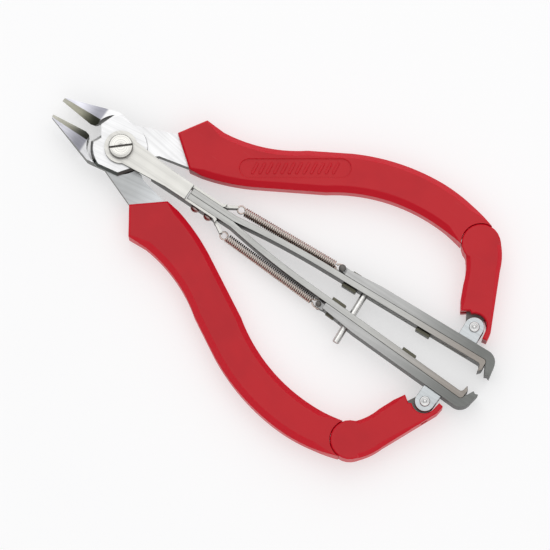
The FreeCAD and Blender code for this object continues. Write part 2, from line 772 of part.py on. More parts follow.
def make_outer_bar(side):
    body = new_body(side + "_outer_bar")
    pad(body, [outer_bar_outline()], BAR_LOW, BAR_HIGH)
    pad(body, [bar_eye_outline()], SHANK_LOW + 0.5, 4.0)
    pin_middle = (SPRING_PIN_AT, value(INNER_THICK + BAR_GAP + SPRING_PIN_OUT))
    pocket(body, [(pin_middle, SPRING_PIN)], 0, TOTAL_HIGH)
    stems = [stem_outline(LUG_FIRST), stem_outline(LUG_FIRST + LUG_PITCH)]
    side_pocket(body, stems, 0, 6)
    if side == UPPER:
        side_pocket(body, [((GUIDE_AT, MID_HIGH), GUIDE_RADIUS)], 0, 8)
    else:
        side_pocket(body, [guide_slot_outline()], 0, 8)
    return node(body, side + "_outer_bar", placed(side, ARM))


def stem_outline(at):
    low = MID_HIGH - STEM_HIGH * 0.5
    high = MID_HIGH + STEM_HIGH * 0.5
    half = LUG_STEM * 0.5
    return [(at - half, low), (at + half, low), (at + half, high), (at - half, high)]


def guide_slot_outline():
    """The slot in the lower outer bar, with room for the guide pin as the arms close."""
    wide = GUIDE_RADIUS + BAR_GAP
    left = (GUIDE_AT - GUIDE_PLAY, MID_HIGH)
    right = (GUIDE_AT + GUIDE_PLAY, MID_HIGH)
    return [
        polar(left, wide, 270),
        polar(right, wide, 270),
        polar_bend(right, wide, 0),
        polar(right, wide, 90),
        polar(left, wide, 90),
        polar_bend(left, wide, 180),
    ]


def make_lugs(side):
    """The two riveted lugs whose heads hold the outer bar against the inner one: one group."""
    pieces = []
    for number, at in enumerate((LUG_FIRST, LUG_FIRST + LUG_PITCH)):
        body = new_body("%s_lug_%d" % (side, number))
        half = LUG_LONG * 0.5
        low = MID_HIGH - LUG_HIGH * 0.5
        high = MID_HIGH + LUG_HIGH * 0.5
        head = [(at - half, low), (at + half, low), (at + half, high), (at - half, high)]
        side_pad(body, [head], -BAR_GAP - LUG_PROUD, LUG_PROUD)
        side_pad(body, [stem_outline(at)], -BAR_GAP, INNER_THICK + BAR_GAP * 2 + OUTER_THICK)
        body.Placement = placed(side, ARM)
        pieces.append(body)
    group = DOC.addObject("Part::Compound", side + "_slide_lugs")
    group.Links = pieces
    return node(group, side + "_slide_lugs")


def make_spring_pin(side):
    body = new_body(side + "_spring_pin")
    middle = (SPRING_PIN_AT, value(INNER_THICK + BAR_GAP + SPRING_PIN_OUT))
    pad(body, [(middle, SPRING_PIN)], SPRING_PIN_LOW, SPRING_PIN_HIGH)
    pad(body, [(middle, SPRING_PIN + 0.3)], SPRING_PIN_LOW + SPRING_PIN_HIGH, 0.5)
    return node(body, side + "_spring_pin", placed(side, ARM))


def clevis_local():
    """The clevis rivet's place in the arm's own frame, as plain numbers."""
    point = ARM.inverse().multVec(V(CLEVIS_X.value, CLEVIS_Y.value, 0))
    return point.x, point.y


def clevis_ear_outline():
    centre = clevis_local()
    half = CLEVIS_WIDE * 0.5
    foot = INNER_THICK + BAR_GAP + OUTER_THICK
    return [
        (centre[0] - half, foot),
        (centre[0] + half, foot),
        (centre[0] + half, centre[1]),
        polar_bend(centre, half, 90),
        (centre[0] - half, centre[1]),
    ]


def make_clevis(side):
    """A folded strip: a foot on the outer bar and two round-topped ears."""
    body = new_body(side + "_clevis")
    centre = clevis_local()
    half = CLEVIS_WIDE * 0.5
    foot = INNER_THICK + BAR_GAP + OUTER_THICK
    pad(body, [clevis_ear_outline()], CLEVIS_LOW, CLEVIS_HIGH)
    gap = [
        (centre[0] - half - 1, foot + EAR_THICK),
        (centre[0] + half + 1, foot + EAR_THICK),
        (centre[0] + half + 1, centre[1] + 6),
        (centre[0] - half - 1, centre[1] + 6),
    ]
    pocket(body, [gap], CLEVIS_LOW + EAR_THICK, CLEVIS_HIGH - EAR_THICK * 2)
    window = [
        (centre[0] - CLEVIS_WINDOW, foot - 1),
        (centre[0] + CLEVIS_WINDOW, foot - 1),
        (centre[0] + CLEVIS_WINDOW, foot + 2),
        (centre[0] - CLEVIS_WINDOW, foot + 2),
    ]
    pocket(body, [window], CLEVIS_LOW + EAR_THICK, CLEVIS_HIGH - EAR_THICK * 2)
    pocket(body, [(centre, CLEVIS_PIN)], 0, TOTAL_HIGH)
    return node(body, side + "_clevis", placed(side, ARM))


def make_clevis_rivet(side):
    body = new_body(side + "_clevis_rivet")
    centre = clevis_local()
    pad(body, [(centre, CLEVIS_PIN)], CLEVIS_LOW, CLEVIS_HIGH)
    pad(body, [(centre, CLEVIS_HEAD)], CLEVIS_LOW + CLEVIS_HIGH, CLEVIS_HEAD_HIGH)
    pad(body, [(centre, CLEVIS_HEAD)], CLEVIS_LOW - CLEVIS_HEAD_HIGH, CLEVIS_HEAD_HIGH)
    return node(body, side + "_clevis_rivet", placed(side, ARM))


def make_guide_pin():
    """The cross pin: fixed in the upper outer bar, free in the lower one."""
    body = new_body("guide_pin")
    start = INNER_THICK + BAR_GAP + OUTER_THICK - GUIDE_LONG
    side_pad(body, [((GUIDE_AT, MID_HIGH), GUIDE_RADIUS)], start, GUIDE_LONG)
    return node(body, "guide_pin", ARM)


# ---------------------------------------------------------------- yoke, pivot and springs
def yoke_web_outline():
    """The flat web: round at the pivot and as wide as the flanges from its neck on."""
    half = FLANGE_INNER + FLANGE_THICK
    return [
        polar(PIVOT, YOKE_EYE, 52),
        polar_bend(PIVOT, YOKE_EYE, 180),
        polar(PIVOT, YOKE_EYE, 308),
        (WEB_NECK, -half),
        (YOKE_END, -half),
        (YOKE_END, half),
        (WEB_NECK, half),
    ]


def flange_outline(sign):
    """One side flange; it flares out into the hook for the spring at its end."""
    inner = FLANGE_INNER * sign
    outer = (FLANGE_INNER + FLANGE_THICK) * sign
    return [
        (FLANGE_START, inner),
        (39.9, inner),
        (44.4, 4.9 * sign),
        (43.8, 5.7 * sign),
        (39.2, outer),
        (FLANGE_START, outer),
    ]


def make_yoke():
    body = new_body("centre_yoke")
    pad(body, [yoke_web_outline()], YOKE_LOW, YOKE_THICK)
    flange_top = BAR_LOW + BAR_HIGH
    for sign in (1, -1):
        pad(body, [flange_outline(sign)], BAR_LOW, BAR_HIGH)
        inner = FLANGE_INNER * sign
        outer = (FLANGE_INNER + FLANGE_THICK) * sign
        strip = [(FLANGE_START, inner), (YOKE_END, inner), (YOKE_END, outer), (FLANGE_START, outer)]
        pad(body, [strip], flange_top, YOKE_LOW - flange_top)
        near = 2.0 * sign
        far = 8.0 * sign
        taper = [(FLANGE_TAPER, near), (46.0, near), (46.0, far), (FLANGE_TAPER, far)]
        pocket(body, [taper], 0.0, 3.0)
        pocket(body, [taper], 7.0, 3.0)
    pocket(body, [(PIVOT, PIVOT_RADIUS)], YOKE_LOW - 1, 4)
    for at in YOKE_RIVETS:
        side_pocket(body, [((at, MID_HIGH), YOKE_RIVET)], -4, 8)
    return node(body, "centre_yoke")


def make_bar_root(side):
    """The clamped start of an inner bar, between the yoke's flanges."""
    body = new_body(side + "_bar_root")
    strip = [(ROOT_START, 0.0), (ROOT_END, 0.0), (ROOT_END, INNER_THICK), (ROOT_START, INNER_THICK)]
    pad(body, [strip], BAR_LOW, BAR_HIGH)
    for at in YOKE_RIVETS:
        side_pocket(body, [((at, MID_HIGH), YOKE_RIVET)], -1, 5)
    return node(body, side + "_bar_root", placed(side))


def make_yoke_rivets():
    """Two domed cross rivets through the flanges and both bar roots."""
    pieces = []
    outer = FLANGE_INNER + FLANGE_THICK
    for number, at in enumerate(YOKE_RIVETS):
        body = new_body("yoke_rivet_%d" % number)
        side_pad(body, [((at, MID_HIGH), YOKE_RIVET)], -outer, outer * 2)
        side_pad(body, [((at, MID_HIGH), DOME_RADIUS)], -outer - DOME_HIGH, DOME_HIGH)
        DOC.recompute()
        base = body.Tip
        rim = -value(outer + DOME_HIGH)
        names = ["Edge%d" % (i + 1) for i, e in enumerate(base.Shape.Edges)
                 if abs(e.BoundBox.YMin - rim) < 1e-5 and abs(e.BoundBox.YMax - rim) < 1e-5]
        dome = body.newObject("PartDesign::Fillet", feature_name(body, "dome"))
        dome.Base = (base, names)
        bound(dome, "Radius", DOME_HIGH - 0.1)
        pieces.append(body)
    group = DOC.addObject("Part::Compound", "yoke_rivets")
    group.Links = pieces
    return node(group, "yoke_rivets")


def make_pivot_screw():
    body = new_body("pivot_screw")
    head_low = YOKE_LOW + YOKE_THICK
    pad(body, [(PIVOT, PIVOT_RADIUS)], 0.1, head_low - 0.1)
    pad(body, [(PIVOT, HEAD_RADIUS)], head_low, HEAD_THICK)
    bevel_edges(body, (value(head_low + HEAD_THICK),), HEAD_BEVEL)
    lean = FreeCAD.Rotation(Z_AXIS, SLOT_LEAN)
    corner = lean.multVec(V(-8, -SLOT_WIDE.value / 2, 0))
    corner.z = value(head_low + HEAD_THICK - SLOT_DEEP)
    cut_box(body, FreeCAD.Placement(corner, lean), 16, SLOT_WIDE, 3)
    return node(body, "pivot_screw")


def make_pivot_nut():
    body = new_body("pivot_nut")
    pad(body, [(PIVOT, NUT_RADIUS)], 0, LAP_LOW - 0.02)
    pocket(body, [(PIVOT, PIVOT_RADIUS)], -1, 4)
    return node(body, "pivot_nut")


def make_spring(side):
    """The coil body of one return spring, as a tube of the coil's outer and inner size."""
    start = V(SPRING_X.value, SPRING_Y.value, MID_HIGH.value)
    pin = ARM.multVec(V(SPRING_PIN_AT.value, value(INNER_THICK + BAR_GAP + SPRING_PIN_OUT), MID_HIGH.value))
    along = (pin - start).normalize()
    long = (pin - start).Length - SPRING_LOOP.value
    tube = []
    for word, radius in (("outside", SPRING_RADIUS), ("inside", SPRING_RADIUS - SPRING_WIRE)):
        cylinder = DOC.addObject("Part::Cylinder", "%s_spring_%s" % (side, word))
        bound(cylinder, "Radius", radius)
        cylinder.Height = long
        local = FreeCAD.Placement(start, FreeCAD.Rotation(Z_AXIS, along))
        cylinder.Placement = placed(side, local)
        tube.append(cylinder)
    return cut_node(side + "_spring", *tube)


# ---------------------------------------------------------------- assembly
HALVES = {UPPER: "rear_jaw_half", LOWER: "front_jaw_half"}

make_pivot_nut()
make_pivot_screw()
make_yoke()
make_yoke_rivets()
make_guide_pin()
for SIDE in (UPPER, LOWER):
    HALF = make_half(SIDE, HALVES[SIDE])
    make_grip(SIDE, HALF)
    make_knuckle_rivet(SIDE)
    LINK = make_link(SIDE)
    make_leg_cover(SIDE, LINK)
    make_bar_root(SIDE)
    make_inner_bar(SIDE)
    make_outer_bar(SIDE)
    make_lugs(SIDE)
    make_spring_pin(SIDE)
    make_clevis(SIDE)
    make_clevis_rivet(SIDE)
    make_spring(SIDE)

DOC.recompute()

FAULTS = []
for item in DOC.Objects:
    if "Invalid" in item.State or "Error" in item.State:
        FAULTS.append("%s: %s" % (item.Name, item.State))
for piece in NODES:
    if piece.Shape.isNull() or not piece.Shape.isValid():
        FAULTS.append("%s: bad shape" % piece.Label)
if FAULTS:
    raise SystemExit("faults: " + "; ".join(FAULTS))

os.makedirs("parts", exist_ok=True)
for piece in NODES:
    piece.Shape.exportStep("parts/%s.step" % piece.Label)
    box = piece.Shape.BoundBox
    print("%-22s solids %d volume %9.2f  x %7.2f %7.2f  y %7.2f %7.2f  z %6.2f %6.2f" % (
        piece.Label, len(piece.Shape.Solids), piece.Shape.Volume,
        box.XMin, box.XMax, box.YMin, box.YMax, box.ZMin, box.ZMax))
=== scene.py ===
"""Looks of side-cutting nippers with a sliding wire stripper between the handles.

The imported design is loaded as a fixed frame, and each sub-assembly below dresses its own pieces.
Sizes in the classes are millimetres and degrees; everything Blender gets is in metres.  +X runs
from the pivot to the stripping hooks, +Y to the upper handle and +Z out of the screw's face.  The
lower side repeats the upper one, half a turn round the X axis at mid height.
"""
from __future__ import annotations

import json
import logging
import math
from collections.abc import Callable, Iterable, Mapping, Sequence
from dataclasses import dataclass
from enum import Enum

import bmesh
import bpy
from mathutils import Matrix, Vector

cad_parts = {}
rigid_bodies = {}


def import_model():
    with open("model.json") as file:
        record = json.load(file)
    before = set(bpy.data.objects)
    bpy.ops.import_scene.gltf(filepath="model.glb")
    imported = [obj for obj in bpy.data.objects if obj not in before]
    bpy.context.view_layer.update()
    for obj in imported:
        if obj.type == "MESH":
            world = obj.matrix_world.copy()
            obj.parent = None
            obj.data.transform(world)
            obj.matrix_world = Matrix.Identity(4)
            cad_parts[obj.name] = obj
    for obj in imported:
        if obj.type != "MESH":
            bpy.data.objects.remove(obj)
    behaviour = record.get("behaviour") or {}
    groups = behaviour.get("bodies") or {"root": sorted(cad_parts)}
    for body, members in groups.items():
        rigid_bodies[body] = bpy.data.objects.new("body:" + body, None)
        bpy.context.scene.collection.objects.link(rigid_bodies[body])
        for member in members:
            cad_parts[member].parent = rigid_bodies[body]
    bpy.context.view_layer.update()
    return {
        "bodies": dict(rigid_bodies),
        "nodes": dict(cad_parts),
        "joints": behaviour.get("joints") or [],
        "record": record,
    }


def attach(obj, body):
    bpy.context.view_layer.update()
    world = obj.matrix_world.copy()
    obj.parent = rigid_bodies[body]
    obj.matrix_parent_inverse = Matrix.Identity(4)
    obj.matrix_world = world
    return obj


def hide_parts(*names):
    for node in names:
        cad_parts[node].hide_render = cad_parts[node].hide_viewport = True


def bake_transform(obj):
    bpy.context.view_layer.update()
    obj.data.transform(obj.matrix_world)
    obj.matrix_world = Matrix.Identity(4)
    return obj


LOG = logging.getLogger("nippers")
MM = 0.001
MID_HIGH = 5.0
TOTAL_HIGH = 10.0
KNUCKLE = (119.2, 40.0)
CLEVIS = (132.9, 15.1)
SHARPEST_TURN = 0.5
ORIGIN = (0.0, 0.0, 0.0)

Point = tuple[float, float]
Triple = tuple[float, float, float]
Colour = Triple
Mesh = bmesh.types.BMesh
Piece = bpy.types.Object
Socket = bpy.types.NodeSocket
Sockets = Mapping[str, Socket]


# ---- outlines
@dataclass(frozen=True)
class Arc:
    """A round stretch of an outline, between the points before and after it.

    Args:
        x: A point that the arc passes through, along the tool.
        y: The same point, across the tool.
        steps: Number of straight pieces that stand for the arc.
    """

    x: float
    y: float
    steps: int = 14

    def between(self, start: Point, end: Point) -> list[Point]:
        """Points of the arc from start to end, both ends left out.

        Args:
            start: The outline point before the arc.
            end: The outline point after the arc.

        Returns:
            The points between them, in order.
        """
        (ax, ay), (bx, by), (cx, cy) = start, (self.x, self.y), end
        double_area = 2 * (ax * (by - cy) + bx * (cy - ay) + cx * (ay - by))
        a_sq, b_sq, c_sq = ax * ax + ay * ay, bx * bx + by * by, cx * cx + cy * cy
        mid_x = (a_sq * (by - cy) + b_sq * (cy - ay) + c_sq * (ay - by)) / double_area
        mid_y = (a_sq * (cx - bx) + b_sq * (ax - cx) + c_sq * (bx - ax)) / double_area
        radius = math.hypot(ax - mid_x, ay - mid_y)
        first = math.atan2(ay - mid_y, ax - mid_x)
        last = math.atan2(cy - mid_y, cx - mid_x)
        left_turn = (bx - ax) * (cy - by) - (by - ay) * (cx - bx) > 0
        if left_turn and last < first:
            last += math.tau
        if not left_turn and last > first:
            last -= math.tau
        turns = [first + (last - first) * i / self.steps for i in range(1, self.steps)]
        return [(mid_x + radius * math.cos(t), mid_y + radius * math.sin(t)) for t in turns]


Outline = Sequence[Point | Arc]


def around(centre: Point, radius: float, degrees: float) -> Point:
    """The point at a radius and an angle from a centre."""
    turn = math.radians(degrees)
    return centre[0] + radius * math.cos(turn), centre[1] + radius * math.sin(turn)


def arc_at(centre: Point, radius: float, degrees: float) -> Arc:
    """An Arc through the point at a radius and an angle from a centre."""
    return Arc(*around(centre, radius, degrees))


def trace(outline: Outline) -> list[Point]:
    """Turns an outline of points and arcs into plain points.

    Args:
        outline: Points, with an Arc between two of them where the stretch is round.

    Returns:
        The closed outline's points.
    """
    traced: list[Point] = []
    for place, item in enumerate(outline):
        if isinstance(item, Arc):
            following = outline[(place + 1) % len(outline)]
            traced += item.between(outline[place - 1], following)
        else:
            traced.append(item)
    return traced


# ---- places
class Side(Enum):
    """The two sides of the tool, each the other one turned over."""

    UPPER = "upper"
    LOWER = "lower"

    @property
    def place(self) -> Matrix:
        """The matrix that brings a piece drawn for the upper side to this side, in metres."""
        if self is Side.UPPER:
            return Matrix.Identity(4)
        return Matrix.Translation((0, 0, TOTAL_HIGH * MM)) @ Matrix.Rotation(math.pi, 4, "X")

    @property
    def half(self) -> str:
        """The body that this side's handle belongs to."""
        return "rear_half" if self is Side.UPPER else "front_half"


@dataclass(frozen=True)
class ArmFrame:
    """The straight stretch of one stripping arm: u runs along it and v across it."""

    x: float = 80.0
    y: float = 3.3
    lean: float = 2.2

    def point(self, u: float, v: float) -> Point:
        """The object's x and y of a place on the arm."""
        turn = math.radians(self.lean)
        return (self.x + u * math.cos(turn) - v * math.sin(turn),
                self.y + u * math.sin(turn) + v * math.cos(turn))

    @property
    def place(self) -> Matrix:
        """The matrix from the arm's own frame to the object's, in metres."""
        return (Matrix.Translation((self.x * MM, self.y * MM, 0))
                @ Matrix.Rotation(math.radians(self.lean), 4, "Z"))


ARM = ArmFrame()


def standing(x: float, y: float) -> Matrix:
    """The place of a turned piece whose axis is vertical at x and y."""
    return Matrix.Translation((x * MM, y * MM, 0))


def crosswise(along: float, height: float) -> Matrix:
    """The place of a turned piece whose axis runs across an arm, towards +v."""
    return Matrix.Translation((along * MM, 0, height * MM)) @ Matrix.Rotation(-math.pi / 2, 4, "X")


# ---- mesh tools
def plate(outline: Outline, low: float, high: float) -> Mesh:
    """A flat piece of constant thickness.

    Args:
        outline: Its closed outline.
        low: Height of its underside.
        high: Height of its top.

    Returns:
        The closed mesh.
    """
    bm = bmesh.new()
    rim = [bm.verts.new((x * MM, y * MM, low * MM)) for x, y in trace(outline)]
    face = bm.faces.new(rim)
    made = bmesh.ops.extrude_face_region(bm, geom=[face], use_keep_orig=True)
    lifted = [item for item in made["geom"] if isinstance(item, bmesh.types.BMVert)]
    bmesh.ops.translate(bm, verts=lifted, vec=(0, 0, (high - low) * MM))
    bmesh.ops.recalc_face_normals(bm, faces=bm.faces)
    return bm


def lathe(profile: Sequence[Point], place: Matrix = Matrix.Identity(4), steps: int = 48) -> Mesh:
    """A turned piece: its profile spun a full turn round the axis.

    Args:
        profile: Radius and height pairs; the first and the last lie on the axis.
        place: Where the turned piece stands.
        steps: Number of facets round it.

    Returns:
        The closed mesh.
    """
    bm = bmesh.new()
    line = [bm.verts.new((radius * MM, 0, height * MM)) for radius, height in profile]
    edges = [bm.edges.new(pair) for pair in zip(line, line[1:])]
    bmesh.ops.spin(bm, geom=line + edges, cent=(0, 0, 0), axis=(0, 0, 1), dvec=(0, 0, 0),
                   angle=math.tau, steps=steps, use_merge=True)
    bmesh.ops.remove_doubles(bm, verts=bm.verts, dist=0.002 * MM)
    bmesh.ops.recalc_face_normals(bm, faces=bm.faces)
    bmesh.ops.transform(bm, matrix=place, verts=bm.verts)
    return bm


def block(low: Vector, high: Vector, place: Matrix) -> Mesh:
    """A box between two corners.

    Args:
        low: The corner with the least x, y and z, in millimetres.
        high: The opposite corner.
        place: Where the box stands.

    Returns:
        The closed mesh.
    """
    bm = bmesh.new()
    bmesh.ops.create_cube(bm, size=1.0)
    size = high - low
    middle = (low + high) / 2
    bmesh.ops.scale(bm, vec=size * MM, verts=bm.verts)
    bmesh.ops.translate(bm, vec=middle * MM, verts=bm.verts)
    bmesh.ops.transform(bm, matrix=place, verts=bm.verts)
    return bm


def chamfer_top(bm: Mesh, height: float, width: float) -> None:
    """Bevels the rim that lies flat at a height.

    Args:
        bm: The mesh that is changed.
        height: The rim's height.
        width: Width of the bevel.
    """
    rim = [edge for edge in bm.edges
           if all(abs(vert.co.z - height * MM) < 0.001 * MM for vert in edge.verts)]
    bmesh.ops.bevel(bm, geom=rim, offset=width * MM, offset_type="OFFSET", segments=1, profile=0.5,
                    affect="EDGES", clamp_overlap=True, material=-1)


def sloped_plate(outline: Outline, width: float, share_at: Callable[[Vector], float]) -> Mesh:
    """A plate as thick as the handles, whose rims slope at 45 degrees.

    The slope's width changes on the way round, which the bevel operator can't do.

    Args:
        outline: Its closed outline, counter-clockwise.
        width: Widest slope.
        share_at: The share of that width, 0 to 1, at a point of the outline.

    Returns:
        The closed mesh.
    """
    bm = bmesh.new()
    ring = [Vector(point) for point in trace(outline)]
    levels: list[list[bmesh.types.BMVert]] = [[], [], [], []]
    for at, point in enumerate(ring):
        before = (point - ring[at - 1]).normalized()
        after = (ring[(at + 1) % len(ring)] - point).normalized()
        along = (before + after).normalized()
        slope = width * share_at(point)
        inner = point + Vector((-along.y, along.x)) * (slope / max(along.dot(after), SHARPEST_TURN))
        places = ((inner, 0.0), (point, slope), (point, TOTAL_HIGH - slope), (inner, TOTAL_HIGH))
        for level, (flat, height) in zip(levels, places):
            level.append(bm.verts.new(Vector((*flat, height)) * MM))
    for lower, upper in zip(levels, levels[1:]):
        for at in range(len(ring)):
            bm.faces.new((lower[at - 1], lower[at], upper[at], upper[at - 1]))
    bm.faces.new(levels[0])
    bm.faces.new(levels[-1])
    bmesh.ops.remove_doubles(bm, verts=bm.verts, dist=0.001 * MM)
    bmesh.ops.recalc_face_normals(bm, faces=bm.faces)
    return bm


def joined(parts: Iterable[Mesh]) -> Mesh:
    """One mesh that holds several, which are freed."""
    whole = bmesh.new()
    for part in parts:
        carrier = bpy.data.meshes.new("part")
        part.to_mesh(carrier)
        part.free()
        whole.from_mesh(carrier)
        bpy.data.meshes.remove(carrier)
    return whole


def settle(piece: Piece) -> None:
    """Turns a piece's modifiers into its plain mesh."""
    bpy.context.view_layer.update()
    depsgraph = bpy.context.evaluated_depsgraph_get()
    final = bpy.data.meshes.new_from_object(piece.evaluated_get(depsgraph))
    piece.modifiers.clear()
    piece.data = final


def as_object(bm: Mesh, name: str, place: Matrix = Matrix.Identity(4)) -> Piece:
    """Makes a mesh an object at the origin, with its place in its vertices.

    Args:
        bm: The mesh, which is freed.
        name: The object's name.
        place: Where the mesh stands.

    Returns:
        The object.
    """
    bmesh.ops.transform(bm, matrix=place, verts=bm.verts)
    mesh = bpy.data.meshes.new(name)
    bm.to_mesh(mesh)
    bm.free()
    piece = bpy.data.objects.new(name, mesh)
    bpy.context.scene.collection.objects.link(piece)
    return piece


def carve(piece: Piece, cutter_mesh: Mesh) -> None:
    """Cuts a shape out of a piece.

    Args:
        piece: The piece that is cut.
        cutter_mesh: The shape to take away, which is freed.
    """
    cutter = as_object(cutter_mesh, "cutter")
    cut = piece.modifiers.new("cut", "BOOLEAN")
    cut.operation = "DIFFERENCE"
    cut.solver = "EXACT"
    cut.object = cutter
    settle(piece)
    bpy.data.objects.remove(cutter)


def soften(piece: Piece, width: float, segments: int = 2, sharp_above: float = 28.0) -> None:
    """Rounds a piece's sharp edges a little and shades it smooth between them.

    Args:
        piece: The piece that is changed.
        width: Width of the rounding.
        segments: Number of facets across the rounding.
        sharp_above: Edges that turn by more than this are rounded, in degrees.
    """
    for polygon in piece.data.polygons:
        polygon.use_smooth = True
    if width > 0:
        rounding = piece.modifiers.new("rounding", "BEVEL")
        rounding.width = width * MM
        rounding.segments = segments
        rounding.limit_method = "ANGLE"
        rounding.angle_limit = math.radians(sharp_above)
        rounding.miter_outer = "MITER_ARC"
    weighting = piece.modifiers.new("weighting", "WEIGHTED_NORMAL")
    weighting.keep_sharp = True
    settle(piece)


def open_edges(piece: Piece) -> int:
    """Number of a piece's edges that don't join exactly two faces."""
    bm = bmesh.new()
    bm.from_mesh(piece.data)
    count = sum(1 for edge in bm.edges if len(edge.link_faces) != 2)
    bm.free()
    return count


# ---- shader tools
class Graph:
    """A node tree with short ways to add and join its nodes."""

    def __init__(self, tree: bpy.types.NodeTree) -> None:
        """Keeps the tree that nodes are added to."""
        self.tree = tree

    def add(self, kind: str, **settings: object) -> bpy.types.Node:
        """A new shader node of a kind, with its settings."""
        node = self.tree.nodes.new(f"ShaderNode{kind}")
        for key, setting in settings.items():
            setattr(node, key, setting)
        return node

    def feed(self, target: Socket, source: object) -> None:
        """Joins a socket to another, or sets its value."""
        if isinstance(source, Socket):
            self.tree.links.new(source, target)
        elif isinstance(source, tuple) and len(source) == 3 and target.type == "RGBA":
            target.default_value = (*source, 1.0)
        else:
            target.default_value = source

    def joins(self, kind: str, *given: object, output: int = 0, **settings: object) -> Socket:
        """A new node fed with values or sockets, from its first input on.

        Args:
            kind: The node's kind.
            given: What its inputs get, in order.
            output: Which output is wanted.
            settings: The node's settings.

        Returns:
            The wanted output.
        """
        node = self.add(kind, **settings)
        for place, source in enumerate(given):
            self.feed(node.inputs[place], source)
        return node.outputs[output]

    def maths(self, operation: str, first: object, second: object = 0.0) -> Socket:
        """The result of a Math node."""
        return self.joins("Math", first, second, operation=operation)

    def times(self, first: object, second: object) -> Socket:
        """One value times another."""
        return self.maths("MULTIPLY", first, second)

    def plus(self, first: object, second: object) -> Socket:
        """The sum of two values."""
        return self.maths("ADD", first, second)

    def mix(self, factor: object, first: object, second: object) -> Socket:
        """A colour between two others."""
        node = self.add("Mix", data_type="RGBA")
        self.feed(node.inputs["Factor"], factor)
        self.feed(node.inputs[6], first)
        self.feed(node.inputs[7], second)
        return node.outputs[2]

    def ramp(self, source: object, low: object, high: object, to_low: object = 0.0,
             to_high: object = 1.0) -> Socket:
        """A value taken smoothly from one range to another."""
        return self.joins("MapRange", source, low, high, to_low, to_high, interpolation_type="SMOOTHSTEP")

    def fade(self, source: object, low: object, high: object) -> Socket:
        """1 up to the low value and smoothly down to 0 at the high one."""
        return self.ramp(source, low, high, 1.0, 0.0)

    def over(self, source: object, stretch: Point) -> Socket:
        """0 to 1 along a stretch that is given in millimetres."""
        return self.ramp(source, stretch[0] * MM, stretch[1] * MM)

    def noise(self, vector: object, scale: object, detail: float = 3.0, roughness: float = 0.55) -> Socket:
        """A noise value over a vector."""
        node = self.add("TexNoise")
        given = {"Vector": vector, "Scale": scale, "Detail": detail, "Roughness": roughness}
        for key, source in given.items():
            self.feed(node.inputs[key], source)
        return node.outputs["Fac"]

    def split(self, vector: object) -> Sequence[Socket]:
        """The three parts of a vector."""
        node = self.add("SeparateXYZ")
        self.feed(node.inputs[0], vector)
        return node.outputs

    def stack(self, x: object, y: object = 0.0, z: object = 0.0) -> Socket:
        """A vector of three values."""
        return self.joins("CombineXYZ", x, y, z)

    def facing(self, output: str = "Normal") -> Sequence[Socket]:
        """The three parts of the surface's direction."""
        return self.split(self.add("NewGeometry").outputs[output])


class Surface(Graph):
    """A new material's graph, with its main shader and its Object coordinates."""

    def __init__(self, name: str) -> None:
        """Makes the material."""
        self.material = bpy.data.materials.new(name)
        self.material.use_nodes = True
        super().__init__(self.material.node_tree)
        self.shader = self.tree.nodes["Principled BSDF"]
        self.coordinates = self.add("TexCoord").outputs["Object"]

    def put(self, **inputs: object) -> None:
        """Feeds the shader's inputs by name, with _ for a space."""
        for key, given in inputs.items():
            self.feed(self.shader.inputs[key.replace("_", " ")], given)

    def rough(self, base: object, source: Socket, share: float) -> Socket:
        """A roughness with a share of a mask added."""
        return self.plus(base, self.times(source, share))

    def bump(self, height: Socket, strength: float, depth: float) -> None:
        """Feeds a height to the shader's normal.

        Args:
            height: The height, 0 to 1.
            strength: Strength of the bump.
            depth: Depth of the bump, in millimetres.
        """
        node = self.add("Bump")
        for key, given in (("Strength", strength), ("Distance", depth * MM), ("Height", height)):
            self.feed(node.inputs[key], given)
        self.put(Normal=node.outputs["Normal"])


class Effect:
    """A shared surface effect: a node group that is built once and placed in many materials."""

    name = "effect"
    takes: dict[str, object] = {}
    gives: tuple[str, ...] = ()

    def __init__(self) -> None:
        """Builds the group."""
        self.tree = bpy.data.node_groups.new(self.name, "ShaderNodeTree")
        for socket, start in {"Coordinates": ORIGIN, **self.takes}.items():
            kind = "NodeSocketVector" if isinstance(start, tuple) else "NodeSocketFloat"
            made = self.tree.interface.new_socket(name=socket, in_out="INPUT", socket_type=kind)
            made.default_value = start
        for socket in self.gives:
            self.tree.interface.new_socket(name=socket, in_out="OUTPUT", socket_type="NodeSocketFloat")
        given = self.tree.nodes.new("NodeGroupInput").outputs
        result = self.tree.nodes.new("NodeGroupOutput").inputs
        graph = Graph(self.tree)
        for socket, source in zip(self.gives, self.wire(graph, given)):
            graph.feed(result[socket], source)

    def wire(self, graph: Graph, given: Sockets) -> tuple[Socket, ...]:
        """Joins the group's nodes; each effect has its own.

        Args:
            graph: The group's graph.
            given: The group's inputs.

        Returns:
            What the group gives, in order.
        """
        raise NotImplementedError

    def place(self, surface: Surface, **values: object) -> Sockets:
        """Puts the group in a material, on the piece's Object coordinates.

        Args:
            surface: The material's surface.
            values: The group's inputs by name, with _ for a space.

        Returns:
            What the group gives, by name.
        """
        node = surface.add("Group", node_tree=self.tree)
        for key, given in {"Coordinates": surface.coordinates, **values}.items():
            surface.feed(node.inputs[key.replace("_", " ")], given)
        return node.outputs


